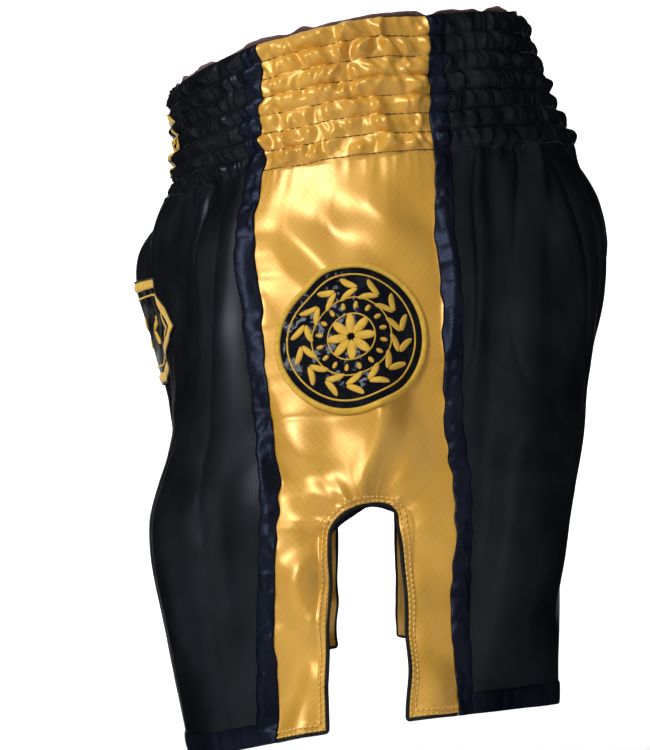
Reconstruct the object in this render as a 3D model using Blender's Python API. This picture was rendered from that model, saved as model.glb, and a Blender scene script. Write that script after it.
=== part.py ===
"""Thai-boxing shorts: satin panels sewn round seven elastic channels, with an arched slit in each side.

Metres. +Z is up, the front faces -Y and the wearer's left is +X. The origin is the middle of the waist.
The cloth follows one shell surface. A place on it is a level (0 at the waist edge, 1 at the hem) and
an angle round the leg (0 at the outer side, minus to the front, plus to the back).
"""

import math

import bpy
import numpy as np

# Overall sizes.
OUTSEAM = 0.345          # waist edge to hem, straight down the side
CROTCH_DROP = 0.235      # waist to the point where the four long seams meet
INNER_HEM_DROP = 0.251   # waist to the hem between the legs
WAIST_WIDTH = 0.275
BAND_FOOT_WIDTH = 0.300  # across, just under the waistband
HIP_WIDTH = 0.354
THIGH_WIDTH = 0.392
HEM_WIDTH = 0.430        # across both legs
LEG_SPREAD = 0.04        # how far the legs part at the hem, as a share of a leg's half width
INNER_NARROWNESS = 9     # higher keeps the climb of the hem closer to the inseam

# How far the cloth reaches forward and back of the waist's middle, by level.
WAIST_DEPTH = 0.195
FRONT_REACH = (
    (0.00, WAIST_DEPTH / 2),
    (0.12, 0.0930),
    (0.20, 0.0960),
    (0.28, 0.1085),
    (0.42, 0.1005),
    (0.57, 0.0920),
    (0.68, 0.1030),
    (0.85, 0.0930),
    (1.00, 0.0810),
)
BACK_REACH = (
    (0.00, WAIST_DEPTH / 2),
    (0.12, 0.1118),
    (0.20, 0.1245),
    (0.30, 0.1368),
    (0.57, 0.1243),
    (0.80, 0.1130),
    (1.00, 0.1074),
)
HALF_WIDTH = (
    (0.00, WAIST_WIDTH / 2),
    (0.20, BAND_FOOT_WIDTH / 2),
    (0.45, HIP_WIDTH / 2),
    (0.70, THIGH_WIDTH / 2),
    (1.00, HEM_WIDTH / 2),
)
SLOPE = ((0.00, 0.22), (0.20, 0.13), (0.60, 0.12), (1.00, 0.15))  # rise to the back, by level
HEM_SAG = 0.012          # the front and the back of the hem hang this much below its side

# Cloth and clearances.
CLOTH = 0.0012
GAP = 0.0003             # between pieces that touch
LIFT = 0.0005            # under a piece that is sewn on top of another

# Waistband: elastic strips in sewn channels between the shell and the facing.
CHANNEL_COUNT = 7
CHANNEL_HEIGHT = 0.0098
STITCH_ROOM = 0.0022     # of a channel's height that its stitch lines take from the elastic
ELASTIC_HEIGHT = CHANNEL_HEIGHT - STITCH_ROOM
ELASTIC_THICKNESS = 0.0010
CHANNEL_EASE = 0.0008    # the elastic lies this loosely between the shell and the facing
FACING_PROUD = 0.0012    # the facing stands this far above the shell's top edge
EYELET_RADIUS = 0.0035
EYELET_TUBE = 0.0008
EYELET_SPACING = 0.030
EYELET_EASE = 0.0012     # between the eyelet and the curve of the facing

# Side panel with its slit, trims, bindings and hems.
SIDE_PANEL_WIDTH = 0.086
SIDE_PANEL_CENTRE = ((0.00, -0.0030), (0.25, 0.0005), (0.45, 0.0025), (0.70, 0.0092), (1.00, 0.0092))
TRIM_WIDTH = 0.0078
TRIM_PROUD = 0.0004      # the trim stands this far above the cloth beside it
HEM_BAND = 0.0100
HEM_JOINT = CLOTH / 2    # the panels end this far above their hem bands, more than GAP for the steep climb
SLIT_SHARE = 0.401       # the slit's width as a share of the side panel's
SLIT_WIDTH = SLIT_SHARE * SIDE_PANEL_WIDTH
SLIT_TOP_DROP = 0.2420   # waist to the top of the slit's arch
ARCH_RISE = 0.0095
BINDING = 0.0015

# Badge on each side panel, and the appliques on the front.
BADGE_DROP = 0.160
BADGE_SHARE = 0.428      # the badge's radius as a share of the side panel's width
BADGE_RADIUS = BADGE_SHARE * SIDE_PANEL_WIDTH
BADGE_RING = 0.0026
BADGE_THICKNESS = 0.0010
BADGE_RING_PROUD = 0.0005
STAR_SHARE = 0.462       # the star's radius as a share of the badge's
STAR_RADIUS = STAR_SHARE * BADGE_RADIUS
STAR_WAIST = STAR_RADIUS / 2
STAR_POINTS = 8
FRONT_PATCH_DROP = 0.141
FRONT_PATCH_REACH = 0.100
FRONT_PATCH_SHOULDER = 0.058
FRONT_PATCH_HEIGHT = 0.054
FRONT_PATCH_BORDER = 0.0050
BAND_PATCH_DROP = 0.0350
BAND_PATCH_REACH = 0.0480
BAND_PATCH_SHOULDER = 0.0300
BAND_PATCH_HEIGHT = 0.0400
BAND_PATCH_BORDER = 0.0030
PATCH_BORDER_PROUD = 0.0003
PATCH_TIP_HEIGHT = 0.0004    # half of what is left of a patch's height at its tips
PATCH_THICKNESS = 0.0008
PATCH_LIFT = 0.0009      # the front is more sharply curved, so a patch there lies a little higher

BAND_HEIGHT = CHANNEL_COUNT * CHANNEL_HEIGHT
CROTCH_LEVEL = CROTCH_DROP / OUTSEAM
INNER_HEM_RISE = OUTSEAM - INNER_HEM_DROP

# Mesh density.
PANEL_COLUMNS = 9
SIDE_COLUMNS = 4
RING_STEPS = 20
ARCH_STEPS = 4
FLAP_STEPS = 6           # the panel and its binding need the same rows down the slit
BADGE_STEPS = 24
EYELET_STEPS = 16
EYELET_TUBE_STEPS = 6
PATCH_COLUMNS = 8
PATCH_ROWS = 4


def through(stations, level):
    """Smooth curve through (level, value) stations: cubic pieces with slopes from their neighbours."""
    at = np.array([station[0] for station in stations])
    value = np.array([station[1] for station in stations])
    slope = np.gradient(value, at)
    level = np.clip(np.asarray(level, float), at[0], at[-1])
    k = np.clip(np.searchsorted(at, level, side="right") - 1, 0, len(at) - 2)
    span = at[k + 1] - at[k]
    t = (level - at[k]) / span
    start = (1 + 2 * t) * (1 - t) ** 2 * value[k] + t * (1 - t) ** 2 * span * slope[k]
    end = t * t * (3 - 2 * t) * value[k + 1] + t * t * (t - 1) * span * slope[k + 1]
    return start + end


def section(level):
    """The leg loop at a level: its middle and half sizes across and front to back, and its split."""
    front = through(FRONT_REACH, level)
    back = through(BACK_REACH, level)
    above = 1 - (1 - (np.clip(level, 0, CROTCH_LEVEL) / CROTCH_LEVEL) ** 2.5) ** 1.5
    below = np.clip(level - CROTCH_LEVEL, 0, 1) / (1 - CROTCH_LEVEL)
    split = above + LEG_SPREAD * below
    across = through(HALF_WIDTH, level) / (1 + split)
    return across * split, across, (back - front) / 2, (back + front) / 2, split


def inner_share(angle):
    """0 on the outer side of a leg and 1 between the legs."""
    return ((1 - np.cos(angle)) / 2) ** INNER_NARROWNESS


def shell(level, angle):
    """A point of the left half: an ellipse round the leg, cut at the middle above the crotch."""
    middle_x, across, middle_y, along, _ = section(level)
    x = middle_x + across * np.cos(angle)
    y = middle_y + along * np.sin(angle)
    below = np.clip(level - CROTCH_LEVEL, 0, 1) / (1 - CROTCH_LEVEL)
    z = -level * OUTSEAM + through(SLOPE, level) * y
    z = z - HEM_SAG * level**3 * np.sin(angle) ** 2 + INNER_HEM_RISE * below * inner_share(angle)
    return np.stack([x, y, z], axis=-1)


def lifted(level, angle, lift):
    """The shell point moved outwards along the cloth's normal."""
    step = 1e-4
    down = shell(level + step, angle) - shell(level - step, angle)
    round_leg = shell(level, angle + step) - shell(level, angle - step)
    normal = np.cross(down, round_leg)
    normal /= np.linalg.norm(normal, axis=-1, keepdims=True)
    return shell(level, angle) + normal * lift


def seam_angle(level):
    """The angle from the outer side to the middle seam, or to the inseam below the crotch."""
    _, _, _, along, split = section(level)
    inseam = math.pi - GAP / 2 / along
    return np.minimum(np.arccos(-np.clip(split, 0, 1)), inseam)


def angle_at(y, level):
    """The angle on the outer side where the cloth has this y."""
    _, _, middle_y, along, _ = section(level)
    return np.arcsin(np.clip((y - middle_y) / along, -1, 1))


def front_angle(x, level):
    """The angle on the front where the cloth has this x."""
    middle_x, across, _, _, _ = section(level)
    return -np.arccos(np.clip((x - middle_x) / across, -1, 1))


def hem_band_level(angle, clear=0.0):
    """The level of the hem band's top edge, or of a line this far above it.

    The band keeps its height where the hem climbs between the legs.
    """
    run = OUTSEAM - INNER_HEM_RISE * inner_share(angle) / (1 - CROTCH_LEVEL)
    return 1 - (HEM_BAND + clear) / run


def grid_faces(rows, columns):
    """Quads of a grid whose rows go down and whose columns go from front to back, facing out."""
    index = np.arange(rows * columns).reshape(rows, columns)
    quads = np.stack([index[:-1, :-1], index[1:, :-1], index[1:, 1:], index[:-1, 1:]], axis=-1)
    return [tuple(quad) for quad in quads.reshape(-1, 4).tolist()]


def closed_sheet(outer, inner, faces):
    """Vertices and faces of the solid between two copies of a sheet, with a rim round its free edges."""
    count = len(outer)
    edges = {}
    for face in faces:
        for start, end in zip(face, face[1:] + face[:1]):
            edges[(start, end)] = True
    rims = [
        (end, start, start + count, end + count)
        for start, end in edges
        if (end, start) not in edges
    ]
    backs = [tuple(corner + count for corner in reversed(face)) for face in faces]
    return np.vstack([outer, inner]), list(faces) + backs + rims


def add_object(name, points, faces, material, side=1):
    """One named object. On the right side (-1) the points are mirrored and the faces turned back."""
    points = np.array(points, float)
    if side < 0:
        points = points * (-1, 1, 1)
        faces = [tuple(reversed(face)) for face in faces]
    mesh = bpy.data.meshes.new(name)
    mesh.from_pydata(points.tolist(), [], faces)
    mesh.validate()
    mesh.shade_smooth()
    mesh.set_sharp_from_angle(angle=math.radians(35))
    mesh.materials.append(material)
    thing = bpy.data.objects.new(name, mesh)
    bpy.context.scene.collection.objects.link(thing)
    return thing


def cloth(name, level, angle, faces, material, side, low=-CLOTH / 2, high=CLOTH / 2):
    """A piece of cloth of the left or right half, kept on its own side of the middle plane."""
    level = np.ravel(level)
    angle = np.ravel(angle)
    layers = [lifted(level, angle, lift) for lift in (high, low)]
    for layer in layers:
        layer[:, 0] = np.maximum(layer[:, 0], GAP / 2)
    points, solid = closed_sheet(layers[0], layers[1], faces)
    return add_object(name, points, solid, material, side)


def make_material(name, colour, roughness, metallic=0.0):
    material = bpy.data.materials.new(name)
    material.use_nodes = True
    shader = material.node_tree.nodes["Principled BSDF"]
    shader.inputs["Base Color"].default_value = (*colour, 1.0)
    shader.inputs["Roughness"].default_value = roughness
    shader.inputs["Metallic"].default_value = metallic
    material.diffuse_color = (*colour, 1.0)
    return material


def side_edges(level, towards):
    """The y of the side panel's edge and of the trim's two, towards the front (-1) or the back (+1)."""
    edge = through(SIDE_PANEL_CENTRE, level) + towards * SIDE_PANEL_WIDTH / 2
    near = edge + towards * GAP
    return edge, near, near + towards * TRIM_WIDTH


def body_levels():
    """Levels of a long panel from the waist edge to the crotch, close together where the legs part."""
    upper = [0.0, 0.04, 0.08, 0.12, 0.16, 0.20, 0.26, 0.33, 0.41, 0.49]
    left = CROTCH_LEVEL - upper[-1]
    upper += [CROTCH_LEVEL - left * (1 - step) ** 2 for step in (0.25, 0.5, 0.75, 1.0)]
    return upper


def body_panel(name, towards, side, material):
    """A black panel from the middle seam to the trim, and down round the thigh to the hem band."""
    shares = np.linspace(0, 1, PANEL_COLUMNS + 1)
    lower_steps = np.linspace(0, 1, 6)[1:]
    levels = []
    angles = []
    for level in body_levels():
        row = np.full(PANEL_COLUMNS + 1, level)
        levels.append(row)
        angles.append(panel_angles(row, towards, shares))
    for step in lower_steps:
        angle = angles[-1]
        for _ in range(4):
            foot = hem_band_level(angle, HEM_JOINT)
            row = CROTCH_LEVEL + (foot - CROTCH_LEVEL) * step
            angle = panel_angles(row, towards, shares)
        levels.append(row)
        angles.append(angle)
    return finish_panel(name, levels, angles, towards, side, material)


def panel_angles(row, towards, shares):
    """Angles across a panel, from its middle seam to the trim's far edge."""
    trim = side_edges(row, towards)[2] + towards * GAP
    return towards * seam_angle(row) * (1 - shares) + angle_at(trim, row) * shares


def finish_panel(name, levels, angles, towards, side, material):
    """Turns rows of places into a sheet whose columns run from front to back."""
    levels = np.array(levels)
    angles = np.array(angles)
    if towards > 0:
        levels = levels[:, ::-1]
        angles = angles[:, ::-1]
    return cloth(name, levels, angles, grid_faces(*levels.shape), material, side)


def hem_band(name, towards, side, material):
    """The satin band along a black panel's foot, from the trim round to the inseam."""
    shares = np.linspace(0, 1, PANEL_COLUMNS + 1)
    levels = []
    angles = []
    for foot_share in (0.0, 1.0):
        row = np.ones(PANEL_COLUMNS + 1)
        for _ in range(4):
            angle = panel_angles(row, towards, shares)
            top = hem_band_level(angle)
            row = top + (1 - top) * foot_share
        levels.append(row)
        angles.append(angle)
    return finish_panel(name, levels, angles, towards, side, material)


def trim(name, towards, side, material):
    """The satin strip over the seam between the side panel and a black panel."""
    level = np.linspace(0, 1, 17)
    _, near, far = side_edges(level, towards)
    edges = sorted((near, far), key=lambda edge: edge[0])
    levels = np.stack([level, level], axis=-1)
    angles = np.stack([angle_at(edge, level) for edge in edges], axis=-1)
    faces = grid_faces(len(level), 2)
    return cloth(name, levels, angles, faces, material, side, high=CLOTH / 2 + TRIM_PROUD)


def slit_half_width(drop, grow):
    """Half the slit's width at a drop below the waist, with its edge moved out into the cloth by grow."""
    half = SLIT_WIDTH / 2 + grow
    rise = ARCH_RISE + grow
    into = np.clip((drop - SLIT_TOP_DROP + grow) / rise, 0, 1)
    return half * np.sqrt(1 - (1 - into) ** 2)


def arch_drops(grow):
    """Drops that cross the arch in even turns of its curve."""
    turn = np.linspace(0, math.pi / 2, ARCH_STEPS + 1)
    return SLIT_TOP_DROP - grow + (ARCH_RISE + grow) * (1 - np.cos(turn))


def side_panel(name, side, material):
    """The gold panel, in two halves that join above the slit."""
    grow = BINDING + GAP
    foot = OUTSEAM - BINDING - GAP
    arch = arch_drops(grow)
    above = np.linspace(0, arch[0], 13)[:-1]
    below = np.linspace(arch[-1], foot, FLAP_STEPS + 1)[1:]
    drops = np.concatenate([above, arch, below])
    level = drops / OUTSEAM
    centre = through(SIDE_PANEL_CENTRE, level)
    shares = np.linspace(0, 1, SIDE_COLUMNS + 1)
    places = []
    faces = []
    for towards in (-1, 1):
        edge = side_edges(level, towards)[0]
        slit = centre + towards * slit_half_width(drops, grow)
        ends = (edge, slit) if towards < 0 else (slit, edge)
        y = ends[0][:, None] * (1 - shares) + ends[1][:, None] * shares
        angle = angle_at(y, level[:, None])
        start = sum(len(place) for place in places)
        levels = np.repeat(level[:, None], len(shares), axis=1)
        places.append(np.stack([levels.ravel(), angle.ravel()], axis=-1))
        faces += [tuple(corner + start for corner in face) for face in grid_faces(*angle.shape)]
    places = np.vstack(places)
    _, keep, weld = np.unique(np.round(places, 7), axis=0, return_index=True, return_inverse=True)
    weld = weld.reshape(-1)
    faces = [tuple(int(weld[corner]) for corner in face) for face in faces]
    places = places[keep]
    return cloth(name, places[:, 0], places[:, 1], faces, material, side)


def edge_path(grow):
    """The slit's edge and the flaps' feet as (y from the panel's middle, drop), moved in by grow."""
    half_panel = SIDE_PANEL_WIDTH / 2
    half = SLIT_WIDTH / 2 + grow
    foot = OUTSEAM - grow
    spring = SLIT_TOP_DROP + ARCH_RISE
    left = [(-half_panel, foot), (-(half_panel + half) / 2, foot), (-half, foot)]
    left += [(-half, drop) for drop in np.linspace(foot, spring, FLAP_STEPS + 1)[1:-1]]
    turns = np.linspace(math.pi, 0, 2 * ARCH_STEPS + 1)
    rise = ARCH_RISE + grow
    arch = [(half * math.cos(turn), spring - rise * math.sin(turn)) for turn in turns]
    return left + arch + [(-across, drop) for across, drop in reversed(left)]


def slit_binding(name, side, material):
    """The thin black edge round the slit and along the feet of the two flaps."""
    rows = [np.array(edge_path(grow)) for grow in (BINDING, 0.0)]
    level = np.array([row[:, 1] / OUTSEAM for row in rows])
    across = np.array([row[:, 0] for row in rows])
    angle = angle_at(through(SIDE_PANEL_CENTRE, level) + across, level)
    return cloth(name, level, angle, grid_faces(*level.shape), material, side)


def ring(name, levels, low, high, material):
    """A closed band inside the waist, at the given levels, from one lift to another."""
    shares = np.linspace(-1, 1, RING_STEPS + 1)
    rows = []
    for level in levels:
        row = np.full(RING_STEPS + 1, level)
        angle = shares * np.arccos(-section(row)[4])
        loops = []
        for lift in (high, low):
            left = lifted(row, angle, lift)
            left[[0, -1], 0] = 0.0
            right = left[-2:0:-1] * (-1, 1, 1)
            loops.append(np.vstack([left, right]))
        rows.append(loops)
    count = len(rows[0][0])
    profile = [loops[0] for loops in rows] + [loops[1] for loops in reversed(rows)]
    faces = []
    for this in range(len(profile)):
        after = (this + 1) % len(profile)
        for step in range(count):
            ahead = (step + 1) % count
            corners = (this * count + step, after * count + step)
            faces.append((*corners, after * count + ahead, this * count + ahead))
    return add_object(name, np.vstack(profile), faces, material)


def waist_parts(elastic_material, facing_material, eyelet_material):
    elastic_high = -CLOTH / 2 - CHANNEL_EASE
    elastic_low = elastic_high - ELASTIC_THICKNESS
    for channel in range(CHANNEL_COUNT):
        middle = (channel + 0.5) * CHANNEL_HEIGHT
        ends = [(middle + half * ELASTIC_HEIGHT / 2) / OUTSEAM for half in (-1, 1)]
        ring(f"elastic_strip_{channel + 1}", ends, elastic_low, elastic_high, elastic_material)
    facing_high = elastic_low - CHANNEL_EASE
    facing_low = facing_high - CLOTH
    facing_levels = np.linspace(-FACING_PROUD, BAND_HEIGHT, 8) / OUTSEAM
    ring("waist_facing", facing_levels, facing_low, facing_high, facing_material)
    for side, word in ((1, "left"), (-1, "right")):
        eyelet(f"drawstring_eyelet_{word}", side, facing_low - EYELET_EASE - EYELET_TUBE, eyelet_material)


def eyelet(name, side, lift, material):
    """A stitched eyelet on the facing, where the drawstring would come out beside the front seam."""
    level = 1.5 * CHANNEL_HEIGHT / OUTSEAM
    angle = front_angle(EYELET_SPACING / 2, level)
    centre = lifted(level, angle, lift)
    normal = lifted(level, angle, lift - 0.001) - centre
    normal /= np.linalg.norm(normal)
    across = np.cross((0, 0, 1), normal)
    across /= np.linalg.norm(across)
    upright = np.cross(normal, across)
    around = np.linspace(0, 2 * math.pi, EYELET_STEPS, endpoint=False)
    tube = np.linspace(0, 2 * math.pi, EYELET_TUBE_STEPS, endpoint=False)
    reach = EYELET_RADIUS + EYELET_TUBE * np.cos(tube)[None, :]
    rise = EYELET_TUBE * np.sin(tube)[None, :, None] * normal
    flat = np.cos(around)[:, None, None] * across + np.sin(around)[:, None, None] * upright
    points = (centre + flat * reach[:, :, None] + rise).reshape(-1, 3)
    faces = []
    for turn in range(EYELET_STEPS):
        for step in range(EYELET_TUBE_STEPS):
            here = turn * EYELET_TUBE_STEPS
            ahead = (turn + 1) % EYELET_STEPS * EYELET_TUBE_STEPS
            after = (step + 1) % EYELET_TUBE_STEPS
            faces.append((here + step, ahead + step, ahead + after, here + after))
    return add_object(name, points, faces, material, side)


def side_place(across, down):
    """Level and angle of a place on the side panel, from the badge's middle."""
    level = (BADGE_DROP + np.asarray(down)) / OUTSEAM
    return level, angle_at(through(SIDE_PANEL_CENTRE, level) + across, level)


def plate(name, loops, low, high, material, side, ring_only=False):
    """A flat piece laid on the side panel: nested loops of (across, down), the first one outermost."""
    count = len(loops[0])
    faces = []
    for this in range(len(loops) - 1):
        for step in range(count):
            ahead = (step + 1) % count
            outer = (this * count + step, this * count + ahead)
            faces.append((*outer, (this + 1) * count + ahead, (this + 1) * count + step))
    places = np.vstack(loops)
    if not ring_only:
        hub = len(places)
        last = hub - count
        places = np.vstack([places, np.mean(loops[-1], axis=0)])
        faces += [(last + step, last + (step + 1) % count, hub) for step in range(count)]
    level, angle = side_place(places[:, 0], places[:, 1])
    layers = [lifted(level, angle, lift) for lift in (high, low)]
    points, solid = closed_sheet(layers[0], layers[1], faces)
    return add_object(name, points, solid, material, side)


def circle(radius, inner=None, points=BADGE_STEPS):
    """A loop of (across, down) that turns so that its faces look out. With inner, a star."""
    turn = np.linspace(0, 2 * math.pi, points, endpoint=False)
    reach = np.full(points, radius)
    if inner is not None:
        reach[1::2] = inner
    return np.stack([reach * np.sin(turn), reach * np.cos(turn)], axis=-1)


def badge(word, side, field_material, thread_material):
    low = CLOTH / 2 + LIFT
    high = low + BADGE_THICKNESS
    field_radius = BADGE_RADIUS - BADGE_RING - GAP
    field = [circle(field_radius * share) for share in (1.0, 0.66, 0.33)]
    plate(f"badge_field_{word}", field, low, high, field_material, side)
    edge = [circle(BADGE_RADIUS), circle(BADGE_RADIUS - BADGE_RING)]
    plate(f"badge_ring_{word}", edge, low, high + BADGE_RING_PROUD, thread_material, side, ring_only=True)
    star = [
        circle(STAR_RADIUS * share, STAR_WAIST * share, 2 * STAR_POINTS) for share in (1.0, 0.5)
    ]
    star_low = high + LIFT
    plate(f"badge_star_{word}", star, star_low, star_low + PATCH_THICKNESS, thread_material, side)


def front_patch_rows(reach, shoulder, height, drop, inset):
    """Columns of a long six-sided patch across the front: its tip, its shoulder and flat middle."""
    tip = reach - inset * 1.9
    half = height / 2 - inset
    shoulder = shoulder - inset * 0.5
    middle = np.linspace(0, shoulder, PATCH_COLUMNS + 1)
    across = np.concatenate([middle, np.linspace(shoulder, tip, PATCH_COLUMNS)[1:]])
    tall = np.where(across <= shoulder, half, half * (tip - across) / (tip - shoulder))
    return across, np.maximum(tall, PATCH_TIP_HEIGHT), drop


def patch_point(across, down, drop, lift):
    """A point over the front at this x, whose own middle plane is kept free of sideways lift."""
    level = (drop + down) / OUTSEAM
    point = lifted(level, front_angle(across, level), lift)
    point[..., 0] = np.where(across < 1e-9, 0.0, np.maximum(point[..., 0], 1e-5))
    return point


def front_patch(name, sizes, inset, low, high, material):
    """The filled middle of a front patch, across both halves."""
    across, tall, drop = front_patch_rows(*sizes, inset)
    rows = np.linspace(-1, 1, PATCH_ROWS + 1)
    faces = grid_faces(len(rows), 2 * len(across) - 1)
    layers = []
    for lift in (high, low):
        right_side = patch_point(across[None, :], rows[:, None] * tall[None, :], drop, lift)
        mirrored = right_side[:, :0:-1] * (-1, 1, 1)
        layers.append(np.concatenate([mirrored, right_side], axis=1).reshape(-1, 3))
    points, solid = closed_sheet(layers[0], layers[1], faces)
    return add_object(name, points, solid, material)


def front_border(name, sizes, border, low, high, material):
    """The closed border round a front patch."""
    loops = []
    for inset in (0.0, border):
        across, tall, drop = front_patch_rows(*sizes, inset)
        top = [(a, -t) for a, t in zip(across, tall)]
        foot = [(a, t) for a, t in zip(across[::-1], tall[::-1])]
        half = np.array(top + foot)
        loops.append((half, drop))
    layers = []
    for lift in (high, low):
        points = []
        for half, drop in loops:
            right_side = patch_point(half[:, 0], half[:, 1], drop, lift)
            mirrored = right_side[-2:0:-1] * (-1, 1, 1)
            points.append(np.vstack([right_side, mirrored]))
        layers.append(np.vstack(points))
    count = len(layers[0]) // 2
    faces = []
    for step in range(count):
        ahead = (step + 1) % count
        faces.append((step, step + count, ahead + count, ahead))
    points, solid = closed_sheet(layers[0], layers[1], faces)
    return add_object(name, points, solid, material)


def front_patches(field_material, thread_material):
    low = CLOTH / 2 + PATCH_LIFT
    high = low + PATCH_THICKNESS
    patches = (
        ("front_patch", FRONT_PATCH_REACH, FRONT_PATCH_SHOULDER, FRONT_PATCH_HEIGHT,
         FRONT_PATCH_DROP, FRONT_PATCH_BORDER),
        ("waistband_patch", BAND_PATCH_REACH, BAND_PATCH_SHOULDER, BAND_PATCH_HEIGHT,
         BAND_PATCH_DROP, BAND_PATCH_BORDER),
    )
    for name, reach, shoulder, height, drop, border in patches:
        sizes = (reach, shoulder, height, drop)
        front_border(f"{name}_border", sizes, border, low, high + PATCH_BORDER_PROUD, thread_material)
        front_patch(f"{name}_field", sizes, border + GAP, low, high, field_material)


def main():
    for thing in list(bpy.data.objects):
        bpy.data.objects.remove(thing, do_unlink=True)
    black = make_material("black_satin", (0.012, 0.013, 0.016), 0.55)
    gold = make_material("gold_satin", (0.72, 0.42, 0.06), 0.35)
    navy = make_material("navy_satin", (0.012, 0.016, 0.045), 0.35)
    edge = make_material("black_binding", (0.01, 0.01, 0.012), 0.7)
    rubber = make_material("white_elastic", (0.75, 0.74, 0.70), 0.8)
    facing = make_material("facing_cloth", (0.20, 0.12, 0.12), 0.75)
    vinyl = make_material("black_vinyl", (0.008, 0.009, 0.012), 0.15)
    thread = make_material("gold_thread", (0.75, 0.48, 0.08), 0.5)

    for side, word in ((1, "left"), (-1, "right")):
        side_panel(f"side_panel_{word}", side, gold)
        slit_binding(f"slit_binding_{word}", side, edge)
        badge(word, side, vinyl, thread)
        for towards, place in ((-1, "front"), (1, "back")):
            body_panel(f"{place}_panel_{word}", towards, side, black)
            hem_band(f"{place}_hem_{word}", towards, side, navy)
            trim(f"{place}_trim_{word}", towards, side, navy)
    waist_parts(rubber, facing, thread)
    front_patches(vinyl, thread)


main()
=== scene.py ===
# Thai-boxing shorts as worn: black and gold satin, puckered navy trims and a seven-channel waistband.
import math

import bpy
import numpy as np
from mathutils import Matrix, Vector


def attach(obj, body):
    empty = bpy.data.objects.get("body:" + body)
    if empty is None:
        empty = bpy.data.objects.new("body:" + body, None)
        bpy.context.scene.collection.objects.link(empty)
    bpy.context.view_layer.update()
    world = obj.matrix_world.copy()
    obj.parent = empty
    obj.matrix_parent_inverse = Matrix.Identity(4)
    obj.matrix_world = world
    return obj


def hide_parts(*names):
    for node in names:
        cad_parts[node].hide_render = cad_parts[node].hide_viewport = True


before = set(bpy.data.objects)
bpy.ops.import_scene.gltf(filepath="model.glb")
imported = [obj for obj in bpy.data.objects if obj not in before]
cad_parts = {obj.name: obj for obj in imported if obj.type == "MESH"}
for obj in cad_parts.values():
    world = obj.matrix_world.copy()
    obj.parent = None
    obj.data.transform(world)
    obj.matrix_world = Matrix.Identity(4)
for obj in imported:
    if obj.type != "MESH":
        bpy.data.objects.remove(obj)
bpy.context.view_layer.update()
print("frame loaded")

# The camera stands level at the wearer's left, with the front of the shorts to the left of the view.
view = {"distance": 1.55, "y": -0.0132, "z": -0.1768, "height": 0.4125, "turn": 0.8, "sensor": 36.0}


def addCamera():
    # the lens is the sensor's size times the distance over the height that is seen
    data = bpy.data.cameras.new("sideCamera")
    data.sensor_width = view["sensor"]
    data.lens = view["sensor"] * view["distance"] / view["height"]
    data.clip_end = 30.0
    camera = bpy.data.objects.new("sideCamera", data)
    turn = math.radians(90.0 + view["turn"])
    camera.location = (
        view["distance"] * math.sin(turn),
        view["y"] - view["distance"] * math.cos(turn),
        view["z"],
    )
    camera.rotation_euler = (math.pi / 2, 0.0, turn)
    bpy.context.scene.collection.objects.link(camera)
    bpy.context.scene.camera = camera


addCamera()

# the worn shape, the same shell that the frame's parts follow, in metres
form = {
    "outseam": 0.345,
    "crotchDrop": 0.235,
    "innerHemDrop": 0.251,
    "innerNarrowness": 9,
    "legSpread": 0.04,
    "hemSag": 0.012,
    "front": ((0, 0.0975), (0.12, 0.093), (0.2, 0.0965), (0.28, 0.1095), (0.42, 0.1015), (0.57, 0.0962),
              (0.68, 0.1065), (0.85, 0.0955), (1, 0.082)),
    "back": ((0, 0.0945), (0.12, 0.1092), (0.2, 0.122), (0.3, 0.1318), (0.57, 0.1215), (0.8, 0.1118),
             (1, 0.1056)),
    "topDrop": (0.0026, 0.0044),
    "half": ((0, 0.1375), (0.2, 0.15), (0.45, 0.177), (0.7, 0.196), (1, 0.215)),
    "slope": ((0, 0.22), (0.2, 0.13), (0.6, 0.12), (1, 0.15)),
    "goldMiddle": ((0, -0.003), (0.25, 0.0005), (0.45, 0.0025), (0.7, 0.0092), (1, 0.0092)),
    "goldFront": ((0, -0.0455), (0.12, -0.0422), (0.21, -0.0431), (0.3, -0.0463), (0.42, -0.0419),
                  (0.56, -0.0365), (0.7, -0.0333), (0.8, -0.0348), (1, -0.0335)),
    "goldBack": ((0, 0.0395), (0.13, 0.041), (0.25, 0.044), (0.32, 0.0435), (0.4, 0.047), (0.5, 0.0472),
                 (0.6, 0.0485), (0.7, 0.0527), (0.8, 0.052), (0.9, 0.0515), (1, 0.0533)),
    "goldWidth": 0.086,
    "trimWidth": 0.0078,
    "hemBand": 0.010,
    "channel": 0.0098,
    "channels": 7,
    "slitWidth": 0.0345,
    "slitTop": 0.242,
    "archRise": 0.0095,
}
crotchLevel = form["crotchDrop"] / form["outseam"]
hemRise = form["outseam"] - form["innerHemDrop"]
bandFoot = form["channel"] * form["channels"]


def ramp(value, start, end):
    # 0 before the start, 1 after the end, and three t squared less two t cubed between them
    t = np.clip((value - start) / (end - start), 0, 1)
    return t * t * (3 - 2 * t)


def through(name, level):
    # cubic pieces through the stations, with slopes from their neighbours
    at, value = np.array(form[name], float).T
    slope = np.gradient(value, at)
    level = np.clip(level, 0, 1)
    k = np.clip(np.searchsorted(at, level, side="right") - 1, 0, len(at) - 2)
    span = at[k + 1] - at[k]
    t = (level - at[k]) / span
    start = (1 + 2 * t) * (1 - t) ** 2 * value[k] + t * (1 - t) ** 2 * span * slope[k]
    return start + t * t * (3 - 2 * t) * value[k + 1] + t * t * (t - 1) * span * slope[k + 1]


def section(level):
    # leg loop at a level: middle x, half width, middle y, half depth, share by which the loops have parted
    front = through("front", level)
    back = through("back", level)
    upper = 1 - (1 - (np.clip(level, 0, crotchLevel) / crotchLevel) ** 2.5) ** 1.5
    split = upper + form["legSpread"] * np.clip(level - crotchLevel, 0, 1) / (1 - crotchLevel)
    across = through("half", level) / (1 + split)
    return across * split, across, (back - front) / 2, (back + front) / 2, split


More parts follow.
